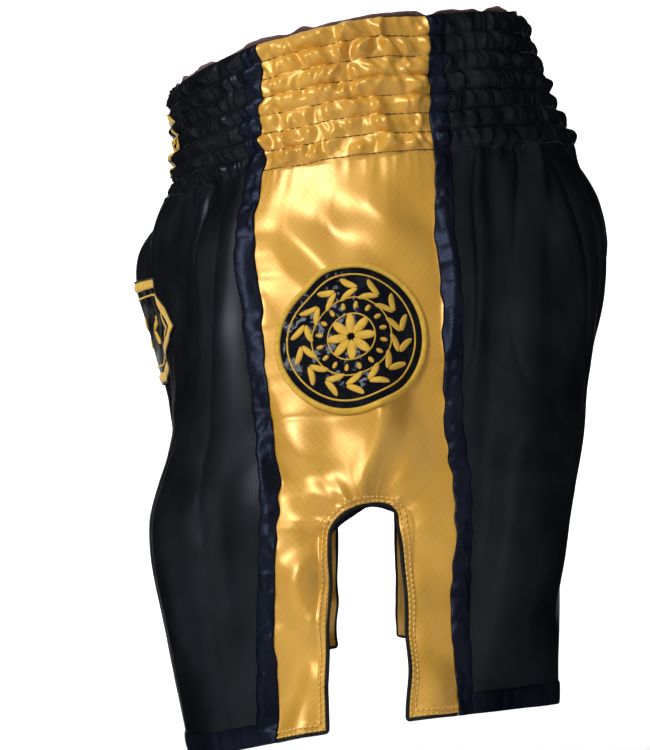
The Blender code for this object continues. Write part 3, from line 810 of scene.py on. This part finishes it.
def goldPanel(name, node, side):
    # two grids that share their middle column above the slit and part round it
    grow = sewing["slitInset"]
    archTurn = np.linspace(0, math.pi / 2, panelMesh["archRows"])
    arch = form["slitTop"] - grow + (form["archRise"] + grow) * (1 - np.cos(archTurn))
    band = np.linspace(0, bandFoot, panelMesh["goldBandRows"])
    above = np.linspace(bandFoot, arch[0], panelMesh["goldRows"])[1:-1]
    below = np.linspace(arch[-1], form["outseam"] - grow, panelMesh["flapRows"])[1:]
    drops = np.concatenate([band, above, arch, below])
    level = drops / form["outseam"]
    shares = np.linspace(0, 1, panelMesh["goldColumns"] + 1)
    columns = len(shares)
    half = slitHalf(drops, grow)
    halves = []
    for towards in (-1, 1):
        edge = goldEdge(level, towards) + towards * sewing["overlap"]
        slit = through("goldMiddle", level) + towards * half
        ends = (edge, slit) if towards < 0 else (slit, edge)
        y = ends[0][:, None] * (1 - shares) + ends[1][:, None] * shares
        levels = np.repeat(level[:, None], columns, axis=1)
        angles = angleAt(y, levels)
        top, normal = clothPoint(levels, angles, side, "gold", sewing["cloth"] / 2)
        under = top - normal * sewing["cloth"]
        halves.append((top.reshape(-1, 3), under.reshape(-1, 3), placeUv(levels, angles)))
    outer, inner, uvs = (np.vstack(layers) for layers in zip(*halves))
    quads = np.vstack([gridQuads(*levels.shape), gridQuads(*levels.shape) + levels.size])
    # weld the shared column where the slit has no width
    left = np.arange(len(drops)) * columns + columns - 1
    right = len(drops) * columns + np.arange(len(drops)) * columns
    weld = np.arange(len(outer))
    shut = half < 1e-7
    weld[right[shut]] = left[shut]
    quads = weld[quads]
    used = np.unique(quads)
    compact = np.zeros(len(outer), int)
    compact[used] = np.arange(len(used))
    return sheetPiece(name, node, "gold_satin", outer[used], inner[used], compact[quads], goldSatin,
                      uvs[used], side)


# heights are off the panel's face: the edge, the crown's rise and the strip's back
trimLook = {"rows": 620, "columns": 14, "edge": 0.0010, "rise": 0.0007, "back": 0.0001, "overGold": 0.0002,
            "overBlack": 0.0004, "wander": 0.0006, "wanderStep": 0.007}
hemLook = {"rows": 13, "columns": 260, "edge": 0.0008, "rise": 0.0005, "back": -0.0009, "overlap": 0.0004,
           "ripple": 0.0004, "rippleStep": 0.005}


def trimStrip(name, node, towards, side):
    # a ribbon over the seam: its crown is a power of a sine across it, and its edges wander by noise
    look = trimLook
    level = np.linspace(0, 1, look["rows"])[:, None]
    shares = np.linspace(0, 1, look["columns"] + 1)[None, :]
    inner = goldEdge(level, towards) - towards * look["overGold"]
    outer = goldEdge(level, towards) + towards * (form["trimWidth"] + look["overBlack"])
    if towards < 0:
        inner, outer = outer, inner
    wander = look["wander"] * noise(level * form["outseam"] / look["wanderStep"], shares * 0, 31 + towards)
    levels = np.broadcast_to(level, (level.shape[0], shares.shape[1]))
    angles = angleAt(inner * (1 - shares) + outer * shares + wander, levels)
    crown = look["edge"] + look["rise"] * np.sin(math.pi * shares) ** 0.6
    cloth, normal = clothPoint(levels, angles, side, "navy", 0.0)
    top = cloth + normal * crown[..., None]
    under = cloth + normal * look["back"]
    uv = placeUv(levels, angles)
    return sheetPiece(name, node, "navy_satin", top, under, gridQuads(*levels.shape), navySatin, uv, side)


def hemStrip(name, node, towards, side):
    # a satin band folded over the black panel's foot: the root of a sine down it, and ripples along it
    look = hemLook
    shares = np.linspace(0, 1, look["columns"])[None, :]
    profile = np.linspace(0, 1, look["rows"])[:, None]
    angles = panelAngles(np.ones_like(shares), towards, shares, look["overlap"])
    angles = np.repeat(angles, len(profile), axis=0)
    for _ in range(5):
        top = hemBandLevel(angles)
        levels = top + (1 - top) * profile
        angles = panelAngles(levels, towards, shares, look["overlap"])
    if towards > 0:
        levels = levels[:, ::-1]
        angles = angles[:, ::-1]
    ripple = crease(clothRun(levels, angles) / look["rippleStep"], levels * 9, 71)
    ripple = look["ripple"] * ripple * np.sin(math.pi * profile)
    crown = look["edge"] + look["rise"] * np.sin(math.pi * profile) ** 0.5 + ripple
    cloth, normal = clothPoint(levels, angles, side, "black", 0.0)
    top = cloth + normal * crown[..., None]
    under = cloth + normal * look["back"]
    for layer in (top, under):
        layer[..., 0] = np.maximum(layer[..., 0], 0.0)
    uv = placeUv(levels, angles)
    return sheetPiece(name, node, "navy_satin", top, under, gridQuads(*levels.shape), navySatin, uv, side)


# the slit's binding and its topstitching; a stitch is its length, its gap and its thickness
slitLook = {"inset": 0.0008, "tube": (0.0010, 0.0008), "rows": (0.0022, 0.0045), "stitchLift": 0.0007,
            "stitch": (0.0019, 0.0008, 0.00042)}


def slitPath(grow):
    # (across, drop) along one flap's foot, up the slit, over its arch and down to the other flap's foot
    half = form["slitWidth"] / 2 + grow
    rise = form["archRise"] + grow
    foot = form["outseam"] - grow
    spring = form["slitTop"] + form["archRise"]
    footRun = np.stack([np.linspace(-form["goldWidth"] / 2, -half, 48), np.full(48, foot)], axis=-1)
    rising = np.stack([np.full(120, -half), np.linspace(foot, spring, 120)], axis=-1)[1:-1]
    turns = np.linspace(math.pi, 0, 80)
    arch = np.stack([half * np.cos(turns), spring - rise * np.sin(turns)], axis=-1)
    other = np.vstack([footRun, rising])[::-1] * (-1, 1)
    path = np.vstack([footRun, rising, arch, other])
    for _ in range(3):
        path[1:-1] = (path[:-2] + path[1:-1] + path[2:]) / 3
    return path


def slitLine(grow, side, lift):
    # the slit's path laid on the gold panel: its points and their normals
    path = slitPath(grow)
    level = path[:, 1] / form["outseam"]
    angle = angleAt(through("goldMiddle", level) + path[:, 0], level)
    return clothPoint(level, angle, side, "gold", lift)


def tubeAlong(path, normal, radii, sides=8):
    # a closed tube with an oval section: (across the cloth, off the cloth)
    ahead = unit(np.gradient(path, axis=0))
    sideways = unit(np.cross(ahead, normal))
    turn = np.arange(sides) * 2 * math.pi / sides
    rings = (path[:, None] + np.cos(turn)[None, :, None] * sideways[:, None] * radii[0]
             + np.sin(turn)[None, :, None] * normal[:, None] * radii[1])
    quads = gridQuads(len(path), sides, closed=True)
    cap = np.array([[0, i + 1, i + 2, i + 2] for i in range(sides - 2)])
    last = (len(path) - 1) * sides + cap
    return rings.reshape(-1, 3), np.vstack([quads[:, ::-1], cap[:, [0, 2, 1, 1]], last])


def slitEdge(name, node, side):
    # a thin tube along the slit's path
    path, normal = slitLine(slitLook["inset"], side, 0.0)
    points, faces = tubeAlong(path, normal, slitLook["tube"])
    piece = addMesh(name, points, faces, blackThread, side)
    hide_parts(node)
    return piece


def slitStitches(name, side):
    # rows of stitches that keep a fixed distance from the slit
    rows = []
    for grow in slitLook["rows"]:
        path, normal = slitLine(grow, side, slitLook["stitchLift"])
        rows.append(threadRow(path, normal, *slitLook["stitch"]))
    return threadPiece(name, rows, goldThread, side)


# waistband stitching, facing and elastic
bandStitch = {"steps": 500, "lift": 0.0005, "seamGap": 0.02, "stitch": (0.0032, 0.0001, 0.00024)}
bandThread = {
    "gold": {"name": "bandStitchesGold", "finish": brownThread, "slot": "gold_thread"},
    "black": {"name": "bandStitchesBlack", "finish": blackThread, "slot": "black_binding"},
}


def bandStitches(kind, side, word):
    # one row below each channel, from trim to trim on gold and from seam to trim on black
    thread = bandThread[kind]
    rows = []
    for index in range(1, form["channels"] + 1):
        levels = np.full(bandStitch["steps"], index * form["channel"] / form["outseam"])
        level = levels[0]
        if kind == "gold":
            ends = [[angleAt(goldEdge(level, towards), level) for towards in (-1, 1)]]
        else:
            trims = [angleAt(goldEdge(level, t) + t * form["trimWidth"], level) for t in (-1, 1)]
            seam = float(seamAngle(level)) - bandStitch["seamGap"]
            ends = [(-seam, trims[0]), (trims[1], seam)]
        for start, end in ends:
            angle = np.linspace(start, end, bandStitch["steps"])
            drop = stitchDrop(index, clothRun(levels, angle), foldSeed(side))
            path, normal = clothPoint(drop / form["outseam"], angle, side, kind, bandStitch["lift"])
            rows.append(threadRow(path, normal, *bandStitch["stitch"]))
    return threadPiece(thread["name"] + word, rows, thread["finish"], side)


facingLook = {"rows": 72, "columns": 300, "above": 0.0026, "below": 0.001, "faces": (-0.0029, -0.0037),
              "belly": 0.0010, "pucker": 0.0006, "turned": 0.0019, "ragged": 0.0016, "length": 0.8}
elasticLook = {"rows": 4, "columns": 120, "half": 0.0038, "faces": (-0.0014, -0.0024)}


def closedRing(left, right):
    # joins the left half to the mirrored right half, which share the columns at the middle
    for half in (left, right):
        half[:, [0, -1], 0] = 0.0
    return np.concatenate([left, (right * (-1, 1, 1))[:, ::-1][:, 1:-1]], axis=1)


def facingPiece():
    # the waistband's inner cloth: sine bellies between its seams, and a top edge turned over the elastic
    look = facingLook
    drops = np.linspace(-look["above"], bandFoot + look["below"], look["rows"])[:, None]
    shares = np.linspace(-1, 1, look["columns"])[None, :]
    level = np.repeat(drops / form["outseam"], look["columns"], axis=1)
    angle = shares * np.arccos(-section(np.maximum(level, 0))[4])
    run = clothRun(level, angle)
    place = drops / form["channel"]
    belly = np.abs(np.sin(math.pi * place)) ** 0.8
    calm = ramp(1 - np.abs(shares), 0, 0.03)
    turned = look["turned"] * ramp(-drops, -0.0004, 0.0018)
    ragged = look["ragged"] * noise(run / 0.009, place * 0, 95) * calm * ramp(-drops, -0.02, 0.0)
    layers = []
    for lift in look["faces"]:
        halves = []
        for side in (1, -1):
            pucker = crease(run / 0.0055, place * 0.7, 91 + side) * (0.3 + 0.7 * belly)
            height = lift + turned - look["belly"] * belly - look["pucker"] * pucker * calm
            point = shell(level, angle) + shellNormal(level, angle) * height[..., None]
            point[..., 2] += ragged
            halves.append(point)
        layers.append(closedRing(*halves))
    rows, columns = layers[0].shape[:2]
    uv = np.stack(np.broadcast_arrays(np.linspace(0, look["length"], columns)[None], drops), axis=-1)
    return sheetPiece("waistFacing", "waist_facing", "facing_cloth", *layers,
                      gridQuads(rows, columns, closed=True), facingCloth, uv.reshape(-1, 2))


def elasticStrip(index):
    # a flat woven strip in one channel, between the shell and the facing
    look = elasticLook
    middle = (index + 0.5) * form["channel"]
    drops = np.linspace(middle - look["half"], middle + look["half"], look["rows"])[:, None]
    shares = np.linspace(-1, 1, look["columns"])[None, :]
    level = np.repeat(drops / form["outseam"], look["columns"], axis=1)
    angle = shares * np.arccos(-section(level)[4])
    layers = []
    for lift in look["faces"]:
        point = shell(level, angle) + shellNormal(level, angle) * lift
        layers.append(closedRing(point, point.copy()))
    quads = gridQuads(*layers[0].shape[:2], closed=True)
    number = index + 1
    return sheetPiece(f"elasticStrip{number}", f"elastic_strip_{number}", "white_elastic", *layers,
                      quads, elasticTape)


# badges
badge = {"drop": 0.160, "radius": 0.0368, "ring": 0.0026, "stand": 0.0013, "rings": 60, "spokes": 180,
         "crinkle": 0.00016, "thickness": 0.0012}


def badgePoint(across, down, side, lift):
    # the badge is stiffer than the satin, so it follows only the shell and the panel's upright fold
    level = (badge["drop"] + down) / form["outseam"]
    angle = angleAt(through("goldMiddle", level) + across, level)
    normal = shellNormal(level, angle)
    seed = foldSeed(side)
    drop = level * form["outseam"]
    fold = goldFolds(level, angle, drop, seed) + skirtRelief(drop, clothRun(level, angle), seed, "gold")
    return shell(level, angle) + normal * (fold + badge["stand"] + lift)[..., None], normal


def badgeSurface(side):
    def surface(across, down, lift):
        return badgePoint(across, down, side, lift)
    return surface


def badgeField(side, word):
    # a disc of rings whose radii go by a root, crinkled like thin vinyl
    spokes = badge["spokes"]
    radius = badge["radius"] - badge["ring"] * 0.6
    shares = np.sqrt(np.linspace(0.0004, 1, badge["rings"]))[:, None]
    turn = np.linspace(0, 2 * math.pi, spokes + 1)[:-1][None, :]
    across = radius * shares * np.sin(turn)
    down = radius * shares * np.cos(turn)
    crinkle = badge["crinkle"] * crease(across / 0.009, down / 0.0085, 61 + side)
    outer, normal = badgePoint(across, down, side, crinkle)
    inner = outer - normal * badge["thickness"]
    quads = gridQuads(*across.shape, closed=True)
    hub = np.array([[across.size, (i + 1) % spokes, i, i] for i in range(spokes)])
    top, foot = (np.vstack([layer.reshape(-1, 3), layer[:1].mean(axis=1)]) for layer in (outer, inner))
    uv = np.vstack([np.stack([across, down], axis=-1).reshape(-1, 2), [[0, 0]]])
    points, faces = withBackFan(top, foot, quads, hub)
    piece = addMesh("badgeField" + word, points, faces, badgeVinyl, side, np.vstack([uv, uv]))
    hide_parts(f"badge_field_{word.lower()}")
    return piece


def withBackFan(top, foot, quads, fan):
    # a disc's two faces and its rim; the rim is the last ring of the grid
    count = len(top)
    ring = np.arange(count - 1 - len(fan), count - 1)
    after = np.roll(ring, -1)
    rim = np.stack([ring, ring + count, after + count, after], axis=-1)
    faces = np.vstack([quads, fan, rim])
    back = np.vstack([quads[:, ::-1] + count, fan[:, [0, 2, 1, 1]] + count])
    return np.vstack([top, foot]), np.vstack([faces, back])


def strandBand(centre, surface, width, height, spacing, depth):
    # a raised band of laid thread along a closed or open line of (across, down) places on a surface
    ahead = unit(np.gradient(centre, axis=0))
    sideways = np.stack([-ahead[:, 1], ahead[:, 0]], axis=-1)
    shares = np.linspace(-1, 1, 7)
    widths = np.broadcast_to(np.asarray(width, float), (len(centre),))
    place = centre[:, None] + sideways[:, None] * shares[None, :, None] * widths[:, None, None] / 2
    run = np.concatenate([[0], np.cumsum(np.linalg.norm(np.diff(centre, axis=0), axis=1))])
    ridge = 1 + depth * np.cos(run * 2 * math.pi / spacing)
    crown = height * np.sqrt(np.maximum(1 - shares**2 * 0.97, 0))[None, :] * ridge[:, None]
    top, _ = surface(place[..., 0], place[..., 1], crown)
    foot, _ = surface(place[..., 0], place[..., 1], np.full(crown.shape, -0.0004))
    uv = np.stack(np.broadcast_arrays(run[:, None], shares[None, :] * widths[:, None] / 2), axis=-1)
    return top, foot, uv.reshape(-1, 2)


def embroidered(name, bands, side, finish):
    # joins raised bands into one piece
    points = []
    faces = []
    uvs = []
    start = 0
    for top, foot, uv in bands:
        solid, quads = withBack(top.reshape(-1, 3), foot.reshape(-1, 3), gridQuads(*top.shape[:2])[:, ::-1])
        points.append(solid)
        faces.append(quads + start)
        uvs += [uv, uv]
        start += len(solid)
    return addMesh(name, np.vstack(points), np.vstack(faces), finish, side, np.vstack(uvs))


def leaf(centreX, centreY, heading, length, width, surface, bend=0.0, height=0.0007):
    # a pointed oval of laid thread
    t = np.linspace(-1, 1, 34)
    along = t * length / 2
    curve = bend * (1 - t**2)
    x = centreX + along * math.cos(heading) - curve * math.sin(heading)
    y = centreY + along * math.sin(heading) + curve * math.cos(heading)
    widths = width * np.sqrt(np.maximum(1 - np.abs(t) ** 2.2, 0.004))
    return strandBand(np.stack([x, y], axis=-1), surface, widths, height, 0.00055, 0.14)


def onCircle(radius, turn):
    return radius * math.cos(turn), radius * math.sin(turn)


def circleLine(radius, steps):
    turn = np.linspace(0, 2 * math.pi, steps)
    return np.stack([radius * np.cos(turn), radius * np.sin(turn)], axis=-1)


def badgeEmblem(side, word):
    # a rosette with a wreath of leaves and dots round it
    surface = badgeSurface(side)
    bands = []
    for step in range(8):
        heading = step * math.pi / 4
        bands.append(leaf(*onCircle(0.0066, heading), heading, 0.0098, 0.0042, surface))
    for step in range(16):
        heading = (step + 0.5) * math.pi / 8
        bands.append(leaf(*onCircle(0.0152, heading), heading, 0.0034, 0.0021, surface))
    for step in range(14):
        turn = (step + 0.5) * 2 * math.pi / 14
        for tilt in (-1, 1):
            heading = turn + math.pi / 2 + tilt * 0.55
            place = onCircle(0.0232 + tilt * 0.0029, turn)
            bands.append(leaf(*place, heading, 0.0092, 0.0030, surface, bend=0.0006 * tilt))
    for radius, width in ((0.0112, 0.0007), (0.0188, 0.0007), (0.0306, 0.0009)):
        bands.append(strandBand(circleLine(radius, 400), surface, width, 0.0005, 0.0006, 0.15))
    piece = embroidered("badgeEmblem" + word, bands, side, goldEmbroidery)
    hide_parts(f"badge_star_{word.lower()}")
    return piece


def badgeRing(side, word):
    # a thick cord of laid thread round the badge's edge
    circle = circleLine(badge["radius"] - badge["ring"] / 2, 900)
    cord = strandBand(circle, badgeSurface(side), badge["ring"] + 0.0002, 0.0012, 0.0005, 0.10)
    piece = embroidered("badgeRing" + word, [cord], side, goldEmbroidery)
    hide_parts(f"badge_ring_{word.lower()}")
    return piece


# appliques across the front
patches = {
    "front": {"drop": 0.141, "reach": 0.100, "shoulder": 0.058, "height": 0.054, "border": 0.005},
    "waistband": {"drop": 0.035, "reach": 0.048, "shoulder": 0.030, "height": 0.040, "border": 0.003},
}


def frontSurface(drop, stand):
    # places across the front, x to the wearer's left, lying over both halves' folds
    def surface(across, down, lift):
        level = (drop + down) / form["outseam"]
        angle = frontAngle(np.abs(across), level)
        halves = [clothPoint(level, angle, side, "black", lift + stand) for side in (1, -1)]
        pick = (across >= 0)[..., None]
        return tuple(np.where(pick, halves[0][i], halves[1][i] * (-1, 1, 1)) for i in (0, 1))
    return surface


def roundedLoop(corners, step=0.0005, blur=4):
    # a closed line through corners, with each corner rounded by averaging its neighbours
    corners = np.array(corners + corners[:1], float)
    run = np.concatenate([[0], np.cumsum(np.linalg.norm(np.diff(corners, axis=0), axis=1))])
    at = np.linspace(0, run[-1], int(run[-1] / step))[:-1]
    line = np.stack([np.interp(at, run, corners[:, i]) for i in (0, 1)], axis=-1)
    for _ in range(blur):
        line = (np.roll(line, 1, axis=0) + line + np.roll(line, -1, axis=0)) / 3
    return np.vstack([line, line[:1]])


def hexagon(look, inset):
    # six corners, moved inwards; a sharper tip moves further
    tip = look["reach"] - inset * 1.9
    half = look["height"] / 2 - inset
    shoulder = look["shoulder"] - inset * 0.5
    return [(-tip, 0), (-shoulder, -half), (shoulder, -half), (tip, 0), (shoulder, half), (-shoulder, half)]


def frontPatch(word):
    # a long six-sided piece of vinyl, edged and patterned with laid thread
    look = patches[word]
    surface = frontSurface(look["drop"], 0.0009)
    tip = look["reach"] - look["border"]
    across = np.linspace(-tip, tip, 200)[None, :]
    half = look["height"] / 2 - look["border"] * 0.5
    tall = np.clip((tip - np.abs(across)) / (tip - look["shoulder"]), 0.01, 1) * half
    down = np.linspace(-1, 1, 36)[:, None] * tall
    across = np.broadcast_to(across, down.shape)
    outer, normal = surface(across, down, np.zeros(down.shape))
    uv = np.stack([across, down], axis=-1).reshape(-1, 2)
    field = sheetPiece(word + "PatchField", word + "_patch_field", "black_vinyl", outer,
                       outer - normal * 0.0007, gridQuads(*down.shape), patchVinyl, uv)
    edge = roundedLoop(hexagon(look, look["border"] / 2))
    inner = roundedLoop(hexagon(look, look["border"] * 1.7))
    bands = [strandBand(edge, surface, look["border"], 0.0013, 0.0005, 0.10),
             strandBand(inner, surface, 0.0010, 0.0005, 0.0006, 0.15)]
    petals = 8
    size = look["height"] / 0.054
    for step in range(petals):
        turn = step * 2 * math.pi / petals
        bands.append(leaf(*onCircle(0.0060 * size, turn), turn, 0.0088 * size, 0.0038 * size, surface))
    spots = np.arange(1, 5) * (look["shoulder"] / 3.6)
    for side in (-1, 1):
        for place in spots[spots < look["reach"] * 0.72]:
            shrink = 1 - 0.55 * place / look["reach"]
            for tilt in (-1, 1):
                bands.append(leaf(side * (place + 0.001), tilt * 0.0052 * size * shrink, side * tilt * 0.9,
                                  0.0125 * size * shrink, 0.0034 * size * shrink, surface))
    border = embroidered(word + "PatchBorder", bands, 1, goldEmbroidery)
    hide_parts(word + "_patch_border")
    rim = strandBand(roundedLoop(hexagon(look, -0.0004)), surface, 0.0011, 0.0008, 0.0006, 0.1)
    outline = embroidered(word + "PatchRim", [rim], 1, blackThread)
    return [field, border, outline]


# the middle leaf, then the two beside it
crestLook = {"drop": 0.106, "length": (0.0130, 0.0115), "width": (0.0052, 0.0042),
             "height": (0.0012, 0.0011), "beside": (0.0068, 0.0016), "lean": 0.6}


def frontCrest():
    # three laid leaves above the front applique
    look = crestLook
    surface = frontSurface(look["drop"], 0.0004)
    bands = []
    for side in (0, -1, 1):
        size = look["length"][abs(side)], look["width"][abs(side)]
        heading = math.pi / 2 - side * look["lean"]
        place = side * look["beside"][0], abs(side) * look["beside"][1]
        bands.append(leaf(*place, heading, *size, surface, height=look["height"][abs(side)]))
    crest = embroidered("frontCrest", bands, 1, goldEmbroidery)
    return crest


strips = [elasticStrip(index) for index in range(form["channels"])]
facingPiece()
for side, word in ((1, "Left"), (-1, "Right")):
    low = word.lower()
    for towards, place in ((-1, "front"), (1, "back")):
        bodyPanel(f"{place}Panel{word}", f"{place}_panel_{low}", towards, side)
        trim = trimStrip(f"{place}Trim{word}", f"{place}_trim_{low}", towards, side)
        hem = hemStrip(f"{place}Hem{word}", f"{place}_hem_{low}", towards, side)
    sidePanel = goldPanel(f"sidePanel{word}", f"side_panel_{low}", side)
    onSide = [slitEdge(f"slitBinding{word}", f"slit_binding_{low}", side),
              slitStitches(f"slitStitches{word}", side),
              badgeField(side, word), badgeRing(side, word), badgeEmblem(side, word)]
    goldRows = bandStitches("gold", side, word)
    blackRows = bandStitches("black", side, word)
    print("made the", low, "half")
onFront = frontPatch("front") + frontPatch("waistband") + [frontCrest()]
for node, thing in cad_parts.items():
    if node.startswith("drawstring"):
        thing.material_slots[0].material = goldThread
print("pieces made")


# floor and light
def plainFinish(name, colour, rough):
    finish = Finish(name, {"Roughness": rough, "Base Color": colour})
    return finish.material


floorLook = {"height": -0.46, "front": -6.0, "back": 0.7, "radius": 4.0, "half": 8.0, "top": 8.0,
             "colour": (0.9, 0.9, 0.9, 1), "rough": 0.9}


def addFloor():
    # a pale floor that curves up behind the object in a quarter of a circle
    look = floorLook
    turns = np.linspace(0, math.pi / 2, 40)
    bendX = look["back"] + look["radius"] * np.sin(turns)
    bendZ = look["height"] + look["radius"] * (1 - np.cos(turns))
    wallTop = (look["back"] + look["radius"], look["top"])
    profile = [(look["front"], look["height"]), *zip(bendX, bendZ), wallTop]
    points = np.array([(-x, y, z) for x, z in profile for y in (-look["half"], look["half"])])
    finish = plainFinish("paleFloor", look["colour"], look["rough"])
    addMesh("floor", points, gridQuads(len(profile), 2), finish)


worldLight = 0.23
lampTarget = (0, 0, -0.17)
lamps = {
    "key": {"place": (1.4, -1.25, 1.15), "size": (0.6, 0.6), "power": 34},
    "fill": {"place": (1.4, 1.7, 0.2), "size": (1.2, 1.2), "power": 2.5},
    "top": {"place": (0.3, 0.0, 1.8), "size": (1.5, 1.5), "power": 4.0},
    "behind": {"place": (-1.8, 0.3, 0.6), "size": (1.6, 1.6), "power": 2},
    "backdrop": {"place": (-0.9, 0.0, 1.6), "size": (3.0, 1.2), "power": 125, "target": (-1.9, 0.0, 1.25)},
}


def addLamp(name, place, size, power, target=lampTarget):
    # a rectangle of light that faces its target
    data = bpy.data.lights.new(name, "AREA")
    data.shape = "RECTANGLE"
    data.size = size[0]
    data.size_y = size[1]
    data.energy = power
    lamp = bpy.data.objects.new(name, data)
    lamp.location = place
    direction = np.array(target, float) - np.array(place, float)
    lamp.rotation_euler = Vector(direction).to_track_quat("-Z", "Y").to_euler()
    bpy.context.scene.collection.objects.link(lamp)


def addLight():
    # an even white surround and the lamps
    world = bpy.data.worlds.new("studio")
    bpy.context.scene.world = world
    world.use_nodes = True
    background = world.node_tree.nodes["Background"]
    background.inputs["Color"].default_value = (1, 1, 1, 1)
    background.inputs["Strength"].default_value = worldLight
    for name, lamp in lamps.items():
        addLamp(name, **lamp)


addFloor()
addLight()
print("floor and light made")
bpy.context.scene.view_settings.view_transform = "Standard"
